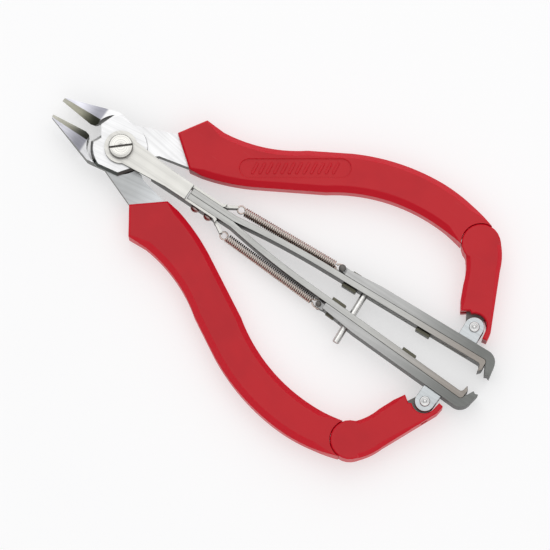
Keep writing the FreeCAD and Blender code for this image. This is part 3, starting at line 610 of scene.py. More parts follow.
class BrushedGrain(Effect):
    """Long fine scratches along one direction, with a broader band over them."""

    name = "brushed grain"
    takes = {"Lean": 0.0, "Along": 0.05, "Across": 6.0}
    gives = ("Grain", "Bands")

    def wire(self, graph: Graph, given: Sockets) -> tuple[Socket, ...]:
        """Stretches two noises along the brushing direction."""
        turned = graph.add("VectorRotate", rotation_type="Z_AXIS")
        graph.feed(turned.inputs["Vector"], given["Coordinates"])
        graph.feed(turned.inputs["Angle"], given["Lean"])
        x, y, z = graph.split(turned.outputs[0])
        made = []
        for share in (1000.0, 220.0):
            along = graph.times(given["Along"], share)
            across = graph.times(given["Across"], share)
            stretched = graph.stack(graph.times(x, along), graph.times(y, across), graph.times(z, across))
            made.append(graph.noise(stretched, 1.0))
        return tuple(made)


class HandlingAndSideShade(Effect):
    """What use leaves on a surface, broad smudges and wear where it turns sharply outwards, and the mask of
    sideways faces where painted shade goes.
    """

    name = "handling_and_side_shade"
    takes = {"Smudge Size": 9.0, "Level": 0.72}
    gives = ("Smudge", "Wear", "Sideways")

    def wire(self, graph: Graph, given: Sockets) -> tuple[Socket, ...]:
        """Makes the smudges, the edge mask and the mask of faces that don't look up or down, which carries
        painted shade.
        """
        spread = graph.maths("DIVIDE", 1000.0, given["Smudge Size"])
        smudge = graph.noise(given["Coordinates"], spread, 4.0, 0.6)
        upright = graph.maths("ABSOLUTE", graph.facing()[2])
        edge = graph.times(graph.ramp(upright, 0.45, 0.6), graph.fade(upright, 0.80, 0.93))
        patches = graph.ramp(graph.noise(given["Coordinates"], 500.0, 2.0), 0.35, 0.6)
        lowest = graph.plus(given["Level"], -0.17)
        highest = graph.plus(given["Level"], 0.17)
        # Sideways: faces that don't look up or down, where the finishes paint shade.
        return graph.ramp(smudge, 0.3, 0.7), graph.times(edge, patches), graph.fade(upright, lowest, highest)


class TurningMarks(Effect):
    """Fine rings round a centre, as a lathe tool leaves them, and a painted highlight that sweeps round it.
    """

    name = "turning marks"
    takes = {"Centre": ORIGIN, "Rings": 2.2}
    gives = ("Ring", "Highlight Sweep")

    def wire(self, graph: Graph, given: Sockets) -> tuple[Socket, ...]:
        """Makes rings from the distance to the centre, and a painted highlight that sweeps round it in two
        lobes.
        """
        offset = graph.joins("VectorMath", given["Coordinates"], given["Centre"], operation="SUBTRACT")
        x, y, _ = graph.split(offset)
        length = graph.joins("VectorMath", graph.stack(x, y), output=1, operation="LENGTH")
        rings = graph.times(graph.times(length, given["Rings"]), 1000.0)
        # Painted highlight: a soft brightening in two lobes round the centre.
        swirl = graph.maths("SINE", graph.times(graph.maths("ARCTAN2", y, x), 2.0))
        return graph.noise(graph.stack(rings), 1.0, 1.0), graph.ramp(swirl, -1.0, 1.0)


@dataclass
class Effects:
    """The shared effects, each built once."""

    grain: BrushedGrain
    handling_and_side_shade: HandlingAndSideShade
    turning: TurningMarks

    @classmethod
    def build(cls) -> Effects:
        """Builds every effect."""
        return cls(BrushedGrain(), HandlingAndSideShade(), TurningMarks())


# ---- finishes
@dataclass(frozen=True)
class Paint:
    """A finish that one material carries out.

    Args:
        name: The finish's name.
    """

    name: str

    def build(self, effects: Effects) -> bpy.types.Material:
        """The finish's material, made with the shared effects."""
        surface = Surface(self.name)
        self.paint(surface, effects)
        return surface.material

    def paint(self, surface: Surface, effects: Effects) -> None:
        """Wires the material; each kind of finish has its own way.

        Args:
            surface: The new material's surface.
            effects: The shared effects.
        """
        raise NotImplementedError


@dataclass(frozen=True)
class SteelFinish(Paint):
    """Ground or drawn steel: bright where it looks up or down, with painted shade on its sides.

    Args:
        face: Colour of the ground faces.
        side: Painted shade on the sides, where the faces don't look up or down.
        edge: Colour of worn edges.
        gloss: Roughness of the ground faces.
        side_gloss: Roughness of the sides.
        grain: Strength of the brushing.
        lean: Direction of the brushing, in degrees.
        grain_across: How fine the brushing is, in lines per millimetre.
        level: How far a face must look up or down to take the face colour rather than the painted side shade,
            0 to 1.
        wear: How strongly the edges are worn bright.
    """

    face: Colour
    side: Colour
    edge: Colour = (0.92, 0.92, 0.90)
    gloss: float = 0.30
    side_gloss: float = 0.42
    grain: float = 0.35
    lean: float = 0.0
    grain_across: float = 5.0
    level: float = 0.72
    wear: float = 0.6

    def face_colour(self, surface: Surface) -> object:
        """The colour of the ground faces; a finish with zones has its own."""
        return self.face

    def paint(self, surface: Surface, effects: Effects) -> None:
        """Brushes the faces, paints shade on the sides and wears the edges."""
        grain = effects.grain.place(surface, Lean=math.radians(self.lean), Across=self.grain_across)
        handling_and_side_shade = effects.handling_and_side_shade.place(surface, Level=self.level)
        face = self.face_colour(surface)
        darker = surface.add("HueSaturation")
        surface.feed(darker.inputs["Value"], 0.80)
        surface.feed(darker.inputs["Color"], face)
        dark = darker.outputs[0]
        banded = surface.mix(surface.ramp(grain["Bands"], 0.35, 0.75, 0.0, 0.8), face, dark)
        scratched = surface.mix(surface.ramp(grain["Grain"], 0.55, 0.8, 0.0, 0.5), banded, dark)
        # Painted shade: faces that don't look up or down take the dark side colour.
        side_shaded = surface.mix(handling_and_side_shade["Sideways"], scratched, self.side)
        worn = surface.mix(surface.times(handling_and_side_shade["Wear"], self.wear), side_shaded, self.edge)
        smudged = surface.rough(self.gloss - 0.03, handling_and_side_shade["Smudge"], 0.10)
        lined = surface.rough(smudged, grain["Grain"], 0.08)
        gloss = surface.ramp(handling_and_side_shade["Sideways"], 0.0, 1.0, lined, self.side_gloss)
        surface.put(Base_Color=worn, Metallic=1.0, Roughness=gloss)
        surface.bump(grain["Grain"], self.grain, 0.02)


@dataclass(frozen=True)
class BladeFinish(SteelFinish):
    """Ground tool steel with painted shade: blade facets darker than the polished boss and darkest at their
    roots, and a darker step and shank beside the boss.

    Args:
        sign: 1 for the blade on the +Y side, -1 for the other.
        outer_facet_shaded: Colour of the outer facet at its root, darkened as painted shade.
        outer_facet_lit: Colour of the outer facet towards the tip, the lit end of its painted shade.
        inner_bevel_shaded: Colour of the cutting bevel at its root, darkened as painted shade.
        inner_bevel_lit: Colour of the cutting bevel towards the tip, the lit end of its painted shade.
        facets_start: Stretch over which the facets' colours come in, along X.
        facets: Stretch over which they change from the shaded to the lit colours, along X.
        shank: Colour of the bare shank outside the boss, next to it; on the front half it is darker, as
            painted shade under the boss's edge.
        shank_far: Colour of the shank where it enters the cover, where the painted shade has faded out.
        shank_start: Stretch over which the shank's colours come in, along X.
        shank_change: Stretch over which the painted shade on the shank gives way to the far colour, along X.
        slope: Painted shade on the sloped step between the boss and the shank.
        shank_half: Half the thickness of the shank.
    """

    sign: int = 1
    outer_facet_shaded: Colour = (0.32, 0.32, 0.36)
    outer_facet_lit: Colour = (0.74, 0.74, 0.80)
    inner_bevel_shaded: Colour = (0.13, 0.135, 0.11)
    inner_bevel_lit: Colour = (0.66, 0.65, 0.57)
    facets_start: Point = (-10.5, -11.5)
    facets: Point = (-12.5, -21.0)
    shank: Colour = (0.80, 0.80, 0.80)
    shank_far: Colour = (0.82, 0.82, 0.82)
    shank_start: Point = (-6.0, -5.0)
    shank_change: Point = (9.0, 22.0)
    slope: Colour = (0.13, 0.14, 0.13)
    shank_half: float = 2.6

    def face_colour(self, surface: Surface) -> Socket:
        """The polished colour, with painted shade on the two facets where the surface leans their way, and on
        the step and the shank beside the boss.
        """
        lean_x, lean_y, lean_z = surface.facing("True Normal")
        x, _, z = surface.split(surface.coordinates)
        # Painted shade on the facets: darkest at the root by the boss, lighter towards the tip.
        towards_tip = surface.over(x, self.facets)
        outer = surface.mix(towards_tip, self.outer_facet_shaded, self.outer_facet_lit)
        inner = surface.mix(towards_tip, self.inner_bevel_shaded, self.inner_bevel_lit)
        leans_out = surface.ramp(surface.times(lean_x, -1.0), 0.08, 0.13)
        leans_in = surface.ramp(surface.times(lean_y, -self.sign), 0.25, 0.45)
        ahead = surface.over(x, self.facets_start)
        from_middle = surface.maths("ABSOLUTE", surface.maths("SUBTRACT", z, MID_HIGH * MM))
        beyond = surface.fade(from_middle, self.shank_half * MM, (self.shank_half + 0.2) * MM)
        behind = surface.over(x, self.shank_start)
        # Painted shade on the shank: darker next to the boss, lighter towards the cover.
        shank = surface.mix(surface.over(x, self.shank_change), self.shank, self.shank_far)
        with_shank_shade = surface.mix(surface.times(beyond, behind), self.face, shank)
        # Painted shade on the sloped step between the boss and the shank.
        sloped = surface.fade(surface.maths("ABSOLUTE", lean_z), 0.72, 0.86)
        with_step_shade = surface.mix(surface.times(sloped, behind), with_shank_shade, self.slope)
        # The facets take their painted shade where the surface leans their way.
        with_outer_facet_shade = surface.mix(surface.times(leans_out, ahead), with_step_shade, outer)
        return surface.mix(surface.times(leans_in, ahead), with_outer_facet_shade, inner)


@dataclass(frozen=True)
class BarFinish(SteelFinish):
    """Spring steel that is warmer and darker towards the hardened hooks.

    Args:
        hook: Colour at the hooks.
        warming: Stretch over which the colour changes, along X.
    """

    hook: Colour = (0.22, 0.21, 0.19)
    warming: Point = (100.0, 142.0)

    def face_colour(self, surface: Surface) -> Socket:
        """The bar's colour, taken towards the hook's colour along X."""
        along = surface.split(surface.coordinates)[0]
        return surface.mix(surface.over(along, self.warming), self.face, self.hook)


@dataclass(frozen=True)
class TurnedFinish(Paint):
    """Turned and polished metal: rings round the piece's own axis, a painted highlight sweeping round it, and
    painted shade on the sides and below the floor height.

    Args:
        centre: The axis, as x and y.
        light: Colour of the bright rings.
        dark: Colour of the dark rings.
        side: Painted shade on the sides and below the floor height.
        gloss: Roughness.
        rings: Rings per millimetre.
        floor: Height under which painted shade darkens the surface, as in a slot.
    """

    centre: Point
    light: Colour
    dark: Colour
    side: Colour = (0.30, 0.29, 0.28)
    gloss: float = 0.22
    rings: float = 2.6
    floor: float = -1.0

    def paint(self, surface: Surface, effects: Effects) -> None:
        """Turns the rings, paints a highlight sweeping round them, and paints shade on the sides and under
        the floor.
        """
        centre = (self.centre[0] * MM, self.centre[1] * MM, 0.0)
        marks = effects.turning.place(surface, Centre=centre, Rings=self.rings)
        handling_and_side_shade = effects.handling_and_side_shade.place(surface)
        ringed = surface.mix(surface.ramp(marks["Ring"], 0.35, 0.7), self.light, self.dark)
        # Painted highlight: a faint brightening that sweeps round the axis.
        highlight_swept = surface.mix(surface.times(marks["Highlight Sweep"], 0.15), ringed, self.light)
        # Painted shade: faces that don't look up or down take the dark side colour.
        side_shaded = surface.mix(handling_and_side_shade["Sideways"], highlight_swept, self.side)
        height = surface.split(surface.coordinates)[2]
        # Painted shade under the floor height, as in the screw's slot.
        slot_shade = surface.fade(height, self.floor * MM, (self.floor + 0.15) * MM)
        surface.put(Base_Color=surface.mix(slot_shade, side_shaded, self.side), Metallic=1.0,
                    Roughness=surface.rough(self.gloss, handling_and_side_shade["Smudge"], 0.1))
        surface.bump(marks["Ring"], 0.35, 0.02)


@dataclass(frozen=True)
class WireFinish(Paint):
    """Drawn wire with a brown layer between the coils, which is also painted shade there.

    Args:
        light: Colour of the wire where it faces up, beside the painted shade on its sides.
        film_and_shade: Colour of the brown layer, which is also painted shade on the sides between the coils.
        gloss: Roughness.
    """

    light: Colour
    film_and_shade: Colour
    gloss: float = 0.24

    def paint(self, surface: Surface, effects: Effects) -> None:
        """Lays the brown layer in flecks on the sides, where it is also painted shade between the coils."""
        handling_and_side_shade = effects.handling_and_side_shade.place(surface, Smudge_Size=2.0)
        flecks = surface.noise(surface.coordinates, 2500.0, 3.0)
        # The brown layer is flecked, and the next line lays it only on the sides, as painted shade between
        # the coils.
        flecked_film_and_shade = surface.mix(surface.ramp(flecks, 0.4, 0.7), self.light, self.film_and_shade)
        surface.put(Base_Color=surface.mix(handling_and_side_shade["Sideways"], self.light, flecked_film_and_shade), Metallic=1.0,
                    Roughness=surface.rough(self.gloss, handling_and_side_shade["Smudge"], 0.14))
        surface.bump(flecks, 0.2, 0.02)


@dataclass(frozen=True)
class MouldedFinish(Paint):
    """Semi-gloss moulded cover.

    Args:
        face: Colour of the flat faces.
        band: Painted highlight on the slopes and the sides.
        deep: Colour in the slow darker clouds.
        scuff: Colour of the scuffs.
        scuff_scale: How fine the scuffs are along each axis, per metre.
        pebble: How fine the pebble is, per metre.
        gloss: Roughness.
    """

    face: Colour
    band: Colour
    deep: Colour
    scuff: Colour = (0.72, 0.30, 0.30)
    scuff_scale: Triple = (120.0, 2100.0, 400.0)
    pebble: float = 2400.0
    gloss: float = 0.36

    def paint(self, surface: Surface, effects: Effects) -> None:
        """Clouds the faces, paints a highlight on the slopes, and adds a faint pebble and a few scuffs along
        the tool.
        """
        place = surface.coordinates
        stretched = surface.joins("VectorMath", place, self.scuff_scale, operation="MULTIPLY")
        scuff = surface.ramp(surface.noise(stretched, 1.0, 4.0, 0.6), 0.62, 0.78)
        cloud = surface.ramp(surface.noise(place, 45.0), 0.4, 0.7, 0.0, 0.55)
        handling_and_side_shade = effects.handling_and_side_shade.place(surface, Smudge_Size=22.0)
        upright = surface.maths("ABSOLUTE", surface.facing()[2])
        # Painted highlight: the slopes and sides take the brighter red.
        banded = surface.mix(surface.fade(upright, 0.90, 0.995), surface.mix(cloud, self.face, self.deep),
                             self.band)
        scuffed = surface.mix(surface.times(scuff, 0.08), banded, self.scuff)
        gloss = surface.rough(surface.rough(self.gloss, handling_and_side_shade["Smudge"], 0.10), scuff, 0.12)
        surface.put(Base_Color=scuffed, Roughness=gloss, IOR=1.5, Specular_IOR_Level=0.30)
        surface.bump(surface.noise(place, self.pebble, 2.0), 0.12, 0.03)


class Finish(Enum):
    """The finishes of the tool's pieces."""

    RED_COVER = MouldedFinish("red cover", (0.560, 0.010, 0.018), (0.640, 0.003, 0.016),
                              (0.450, 0.010, 0.018))
    # The front half's shank colours paint shade under the boss: darker next to it, lighter towards the cover.
    FRONT_JAW = BladeFinish("front jaw steel", (0.80, 0.80, 0.80), (0.13, 0.13, 0.12), lean=-8.0, sign=1,
                            level=0.32, wear=0.0, shank=(0.44, 0.45, 0.45), shank_far=(0.62, 0.64, 0.65))
    REAR_JAW = BladeFinish("rear jaw steel", (0.79, 0.79, 0.80), (0.13, 0.13, 0.12), lean=8.0, sign=-1,
                           level=0.32, wear=0.0)
    YOKE = SteelFinish("yoke sheet", (0.72, 0.71, 0.67), (0.05, 0.05, 0.045), (0.30, 0.29, 0.27),
                       gloss=0.36, wear=0.5)
    SLIDE_BAR = BarFinish("slide bar steel", (0.50, 0.50, 0.49), (0.055, 0.054, 0.050), (0.13, 0.13, 0.12),
                          gloss=0.38, grain=0.6, hook=(0.20, 0.205, 0.195), wear=0.8)
    LEAF = BarFinish("leaf steel", (0.52, 0.52, 0.50), (0.055, 0.052, 0.046), (0.13, 0.13, 0.12),
                     gloss=0.36, grain=0.6, hook=(0.33, 0.30, 0.27), wear=0.8)
    ZINC = SteelFinish("zinc plate", (0.58, 0.61, 0.62), (0.30, 0.31, 0.31), gloss=0.26, grain=0.15)
    LUG = SteelFinish("lug steel", (0.13, 0.125, 0.095), (0.06, 0.058, 0.045), (0.55, 0.53, 0.44), gloss=0.34)
    DARK = SteelFinish("plain steel", (0.16, 0.15, 0.14), (0.07, 0.07, 0.065), (0.40, 0.39, 0.37), gloss=0.40)
    WIRE = WireFinish("spring wire", (0.74, 0.65, 0.58), (0.07, 0.04, 0.028))
    DOME = WireFinish("rivet steel", (0.40, 0.30, 0.28), (0.16, 0.08, 0.07), gloss=0.20)
    # The screw head's dark side colour and its floor paint shade on its side and in its slot.
    SCREW = TurnedFinish("screw head", (0.0, 0.0), (0.78, 0.77, 0.72), (0.55, 0.54, 0.51),
                         (0.11, 0.105, 0.095), floor=11.5)
    NUT = TurnedFinish("pivot nut", (0.0, 0.0), (0.80, 0.79, 0.77), (0.55, 0.54, 0.52), (0.24, 0.24, 0.23))
    PIN = SteelFinish("pin steel", (0.85, 0.84, 0.81), (0.30, 0.29, 0.28), gloss=0.20, grain=0.2, level=0.45)
    UPPER_RIVET = TurnedFinish("upper clevis rivet", CLEVIS, (0.80, 0.80, 0.79), (0.45, 0.45, 0.44),
                               rings=3.0)
    LOWER_RIVET = TurnedFinish("lower clevis rivet", (CLEVIS[0], -CLEVIS[1]), (0.80, 0.80, 0.79),
                               (0.45, 0.45, 0.44), rings=3.0)


class Dresser:
    """Gives pieces their finishes and their bodies, and reports them."""

    def __init__(self, frame: dict) -> None:
        """Keeps the loaded frame, and builds the shared effects and the finishes."""
        self.nodes = frame["nodes"]
        effects = Effects.build()
        self.materials = {finish: finish.value.build(effects) for finish in Finish}

    def coat(self, piece: Piece, finish: Finish) -> None:
        """Gives a piece one finish."""
        piece.data.materials.clear()
        piece.data.materials.append(self.materials[finish])

    def dress(self, piece: Piece, body: str, slot: str, finish: Finish, *nodes: str) -> None:
        """Finishes a new piece and lets it ride on its body.

        Args:
            piece: The new piece.
            body: The body that it rides on.
            slot: The record's material slot; not used.
            finish: Its finish.
            nodes: The design nodes that it stands for.
        """
        self.coat(piece, finish)
        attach(piece, body)
        self.report(piece, nodes)

    def stretch(self, piece: Piece, bodies: tuple[str, str], span: tuple[Vector, Vector],
                slot: str, finish: Finish, *nodes: str) -> None:
        """Finishes a new piece that spans two bodies, and bakes its place into its mesh.

        Args:
            piece: The new piece.
            bodies: The body at its start and the one at its end; not used.
            span: Where the change begins and ends, in metres; not used.
            slot: The record's material slot; not used.
            finish: Its finish.
            nodes: The design nodes that it stands for.
        """
        self.coat(piece, finish)
        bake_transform(piece)
        self.report(piece, nodes)

    def refine(self, node: str, name: str, rounding: float, sharp_above: float = 20.0) -> Piece:
        """A merged copy of a design node with finer edges.

        Args:
            node: The design node's name.
            name: Name of the new piece.
            rounding: Width of the rounding.
            sharp_above: Edges that turn by more than this are rounded, in degrees.

        Returns:
            The new piece.
        """
        bm = bmesh.new()
        bm.from_mesh(self.nodes[node].data)
        bmesh.ops.remove_doubles(bm, verts=bm.verts, dist=0.001 * MM)
        bmesh.ops.dissolve_limit(bm, angle_limit=math.radians(0.5), verts=bm.verts, edges=bm.edges)
        piece = as_object(bm, name)
        soften(piece, rounding, sharp_above=sharp_above)
        return piece

    def report(self, piece: Piece, nodes: Sequence[str]) -> None:
        """Hides the design nodes that a piece stands for, and logs it."""
        if nodes:
            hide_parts(*nodes)
        LOG.info("%-24s %6d faces, %d open edges, for %s", piece.name, len(piece.data.polygons),
                 open_edges(piece), ", ".join(nodes) or "itself")


# ---- sub-assemblies
@dataclass
class Handle:
    """One handle: its moulded cover with the hollow that the leg turns in."""

    side: Side
    socket: float = 6.78
    slope: float = 2.0
    mouth_share: float = 0.3
    mouth_x: float = 20.0
    mouth_sum: float = 31.5
    tip_long: float = 6.0
    rounding: float = 0.35
    recess_centre: Point = (53.0, 26.6)
    recess_half: float = 15.6
    recess_radius: float = 3.3
    recess_lean: float = 33.7
    recess_deep: float = 0.5
    rib_count: int = 12
    rib_run: float = 27.3
    rib_turn: float = 62.0
    rib_long: float = 3.4
    rib_wide: float = 0.95
    rib_high: float = 0.38
    rib_sunk: float = 0.2
    rib_bevel: float = 0.16
    rib_rounding: float = 0.06

    def outline(self) -> Outline:
        """The cover's outline, from its slanted mouth round to the hollow."""
        return [
            (23.4, 6.6), (28.2, 7.2), Arc(36.8, 10.0), (45.3, 14.0), (66.0, 25.7), Arc(82.0, 34.0),
            (98.0, 37.1), Arc(106.5, 37.0),
            around(KNUCKLE, self.socket, 216), arc_at(KNUCKLE, self.socket, 153),
            around(KNUCKLE, self.socket, 90), Arc(108.0, 49.6),
            (97.0, 50.2), Arc(82.0, 47.9), (66.0, 41.7), (52.9, 34.2), Arc(40.0, 27.0),
            (26.0, 23.7), (19.1, 23.9), (13.2, 14.75),
        ]

    def rim_share(self, place: Vector) -> float:
        """The slope's share along the rim: small at the mouth, and none at the hollow's thin tips."""
        if place.x < self.mouth_x or place.x + place.y < self.mouth_sum:
            return self.mouth_share
        wall = math.dist(place, KNUCKLE) - self.socket
        return min(max(wall / self.tip_long, 0.0), 1.0)

    def stadium(self, half: float, radius: float, centre: Point, lean: float) -> Outline:
        """A long round-ended outline.

        Args:
            half: From the centre to the middle of each round end.
            radius: Radius of the ends.
            centre: The outline's centre.
            lean: Its direction, in degrees.

        Returns:
            The outline.
        """
        outline = []
        for turn in (lean, lean + 180):
            end = around(centre, half, turn)
            outline += [around(end, radius, turn - 90), arc_at(end, radius, turn),
                        around(end, radius, turn + 90)]
        return outline

    def build(self, dresser: Dresser) -> None:
        """Builds the cover, and on the upper handle the ribbed recess."""
        word = self.side.value
        cover = as_object(sloped_plate(self.outline(), self.slope, self.rim_share), f"{word}_grip_shell",
                          self.side.place)
        if self.side is Side.UPPER:
            recess = self.stadium(self.recess_half, self.recess_radius, self.recess_centre, self.recess_lean)
            carve(cover, plate(recess, TOTAL_HIGH - self.recess_deep, TOTAL_HIGH + 2))
            self.ribs(dresser)
        soften(cover, self.rounding, segments=3)
        for vert in cover.data.vertices:
            vert.co.z = min(max(vert.co.z, 0.0), TOTAL_HIGH * MM)
        dresser.dress(cover, self.side.half, "red_cover", Finish.RED_COVER, f"{word}_grip_cover")

    def ribs(self, dresser: Dresser) -> None:
        """A row of plain slanted ribs on the recess's floor."""
        floor = TOTAL_HIGH - self.recess_deep
        ribs = []
        for number in range(self.rib_count):
            along = (number / (self.rib_count - 1) - 0.5) * self.rib_run
            centre = around(self.recess_centre, along, self.recess_lean)
            outline = self.stadium(self.rib_long / 2, self.rib_wide / 2, centre,
                                   self.recess_lean + self.rib_turn)
            rib = plate(outline, floor - self.rib_sunk, floor + self.rib_high)
            chamfer_top(rib, floor + self.rib_high, self.rib_bevel)
            ribs.append(rib)
        piece = as_object(joined(ribs), "upper_grip_ribs")
        soften(piece, self.rib_rounding)
        dresser.dress(piece, self.side.half, "red_cover", Finish.RED_COVER)


@dataclass
class Leg:
    """One leg: the cover that turns in the handle's hollow and holds the link to the clevis."""

    side: Side
    notch: Point = (132.65, 15.35)
    notch_radius: float = 4.2
    radius: float = 6.6
    slope: float = 1.4
    end_share: float = 0.3
    end_radius: float = 7.2
    rounding: float = 0.25
    slot_near: Triple = (126.0, 12.0, 3.5)
    slot_far: Triple = (137.0, 22.0, 6.5)

    def outline(self) -> Outline:
        """The cover's outline: round at the knuckle and notched round the clevis."""
        return [
            around(KNUCKLE, self.radius, 252), Arc(119.9, 29.9), (121.6, 25.8), (124.0, 20.4),
            (126.2, 17.0), (128.6, 18.8), around(self.notch, self.notch_radius, 136),
            arc_at(self.notch, self.notch_radius, 75), around(self.notch, self.notch_radius, 8),
            (137.3, 13.1), (139.0, 13.4), (138.6, 16.3), (129.6, 35.8), Arc(127.0, 41.0),
            around(KNUCKLE, self.radius, 50), arc_at(KNUCKLE, self.radius, 150),
        ]

    def rim_share(self, place: Vector) -> float:
        """The slope's share along the rim: full on the long sides and small round the two ends."""
        near_knuckle = math.dist(place, KNUCKLE) < self.radius + 0.1
        near_clevis = math.dist(place, CLEVIS) < self.end_radius
        return self.end_share if near_knuckle or near_clevis else 1.0

    def build(self, dresser: Dresser) -> None:
        """Builds the cover, and dresses the steel inside it."""
        word = self.side.value
        cover = as_object(sloped_plate(self.outline(), self.slope, self.rim_share), f"{word}_leg_shell",
                          self.side.place)
        carve(cover, block(Vector(self.slot_near), Vector(self.slot_far), self.side.place))
        soften(cover, self.rounding, sharp_above=32.0)
        dresser.dress(cover, f"{word}_leg", "red_cover", Finish.RED_COVER, f"{word}_leg_cover")
        for node in (f"{word}_leg_link", f"{word}_knuckle_rivet"):
            dresser.coat(dresser.nodes[node], Finish.DARK)


@dataclass
class Jaws:
    """The two lapped halves with their blades."""

    rounding: float = 0.14

    def build(self, dresser: Dresser) -> None:
        """Gives each half finer edges and its ground finish."""
        for word, finish in (("rear", Finish.REAR_JAW), ("front", Finish.FRONT_JAW)):
            forging = dresser.refine(f"{word}_jaw_half", f"{word}_forging", self.rounding, sharp_above=12.0)
            dresser.dress(forging, f"{word}_half", "jaw_steel", finish, f"{word}_jaw_half")


@dataclass
class Pivot:
    """The slotted screw, its nut and the folded yoke that they hold."""

    shaft: float = 2.6
    shaft_low: float = 0.1
    head: float = 4.1
    head_low: float = 10.23
    head_high: float = 12.13
    rim: float = 0.45
    slot_wide: float = 0.72
    slot_deep: float = 0.9
    slot_lean: float = 41.0
    nut: float = 4.6
    nut_high: float = 0.98
    rivets: tuple[float, float] = (32.0, 37.2)
    rivet_radius: float = 1.0
    dome: float = 1.65
    dome_high: float = 1.4
    flange: float = 2.92
    screw_rounding: float = 0.08
    yoke_rounding: float = 0.16

    def build(self, dresser: Dresser) -> None:
        """Builds the screw, the nut, the yoke and its rivets."""
        self.screw(dresser)
        top, out = self.nut_high, self.nut
        profile = [(0, 0.25), (1.9, 0.25), (2.1, 0.0), (out - 0.3, 0.0), (out, 0.3), (out, top - 0.05),
                   (out - 0.05, top), (self.shaft, top), (0, top)]
        nut = as_object(lathe(profile), "pivot_riveted_nut")
        soften(nut, 0.0)
        dresser.dress(nut, "yoke_body", "screw_steel", Finish.NUT, "pivot_nut")
        yoke = dresser.refine("centre_yoke", "yoke_sheet", self.yoke_rounding)
        dresser.dress(yoke, "yoke_body", "yoke_steel", Finish.YOKE, "centre_yoke")
        self.cross_rivets(dresser)

    def screw(self, dresser: Dresser) -> None:
        """The screw's head with a rounded rim and a straight slot, on its shaft."""
        top, rim, low = self.head_high, self.rim, self.head_low
        corner = [(self.head - rim + rim * math.sin(math.radians(t)),
                   top - rim + rim * math.cos(math.radians(t))) for t in (0, 22, 45, 68, 90)]
        profile = [(0, self.shaft_low), (self.shaft, self.shaft_low), (self.shaft, low), (3.6, low),
                   (3.75, low + 0.3), (self.head, low + 0.5), *reversed(corner), (2.4, top), (1.2, top),
                   (0, top)]
        screw = as_object(lathe(profile, steps=72), "slotted_screw")
        slot = block(Vector((-8, -self.slot_wide / 2, top - self.slot_deep)),
                     Vector((8, self.slot_wide / 2, top + 1)),
                     Matrix.Rotation(math.radians(self.slot_lean), 4, "Z"))
        carve(screw, slot)
        soften(screw, self.screw_rounding, sharp_above=35.0)
        dresser.dress(screw, "yoke_body", "screw_steel", Finish.SCREW, "pivot_screw")

    def cross_rivets(self, dresser: Dresser) -> None:
        """Two domed rivets through the flanges and both bar roots."""
        turns = [math.radians(degrees) for degrees in range(0, 91, 10)]
        arc = [(self.dome * math.cos(turn), self.flange + self.dome_high * math.sin(turn)) for turn in turns]
        profile = [(0, -self.flange), (self.rivet_radius, -self.flange), (self.rivet_radius, self.flange),
                   (self.dome, self.flange), *arc]
        across = Matrix.Rotation(math.pi / 2, 4, "X")
        rivets = [lathe(profile, Matrix.Translation((at * MM, 0, MID_HIGH * MM)) @ across, 32)
                  for at in self.rivets]
        piece = as_object(joined(rivets), "yoke_dome_rivets")
        soften(piece, 0.0)
        dresser.dress(piece, "yoke_body", "zinc_steel", Finish.DOME, "yoke_rivets")


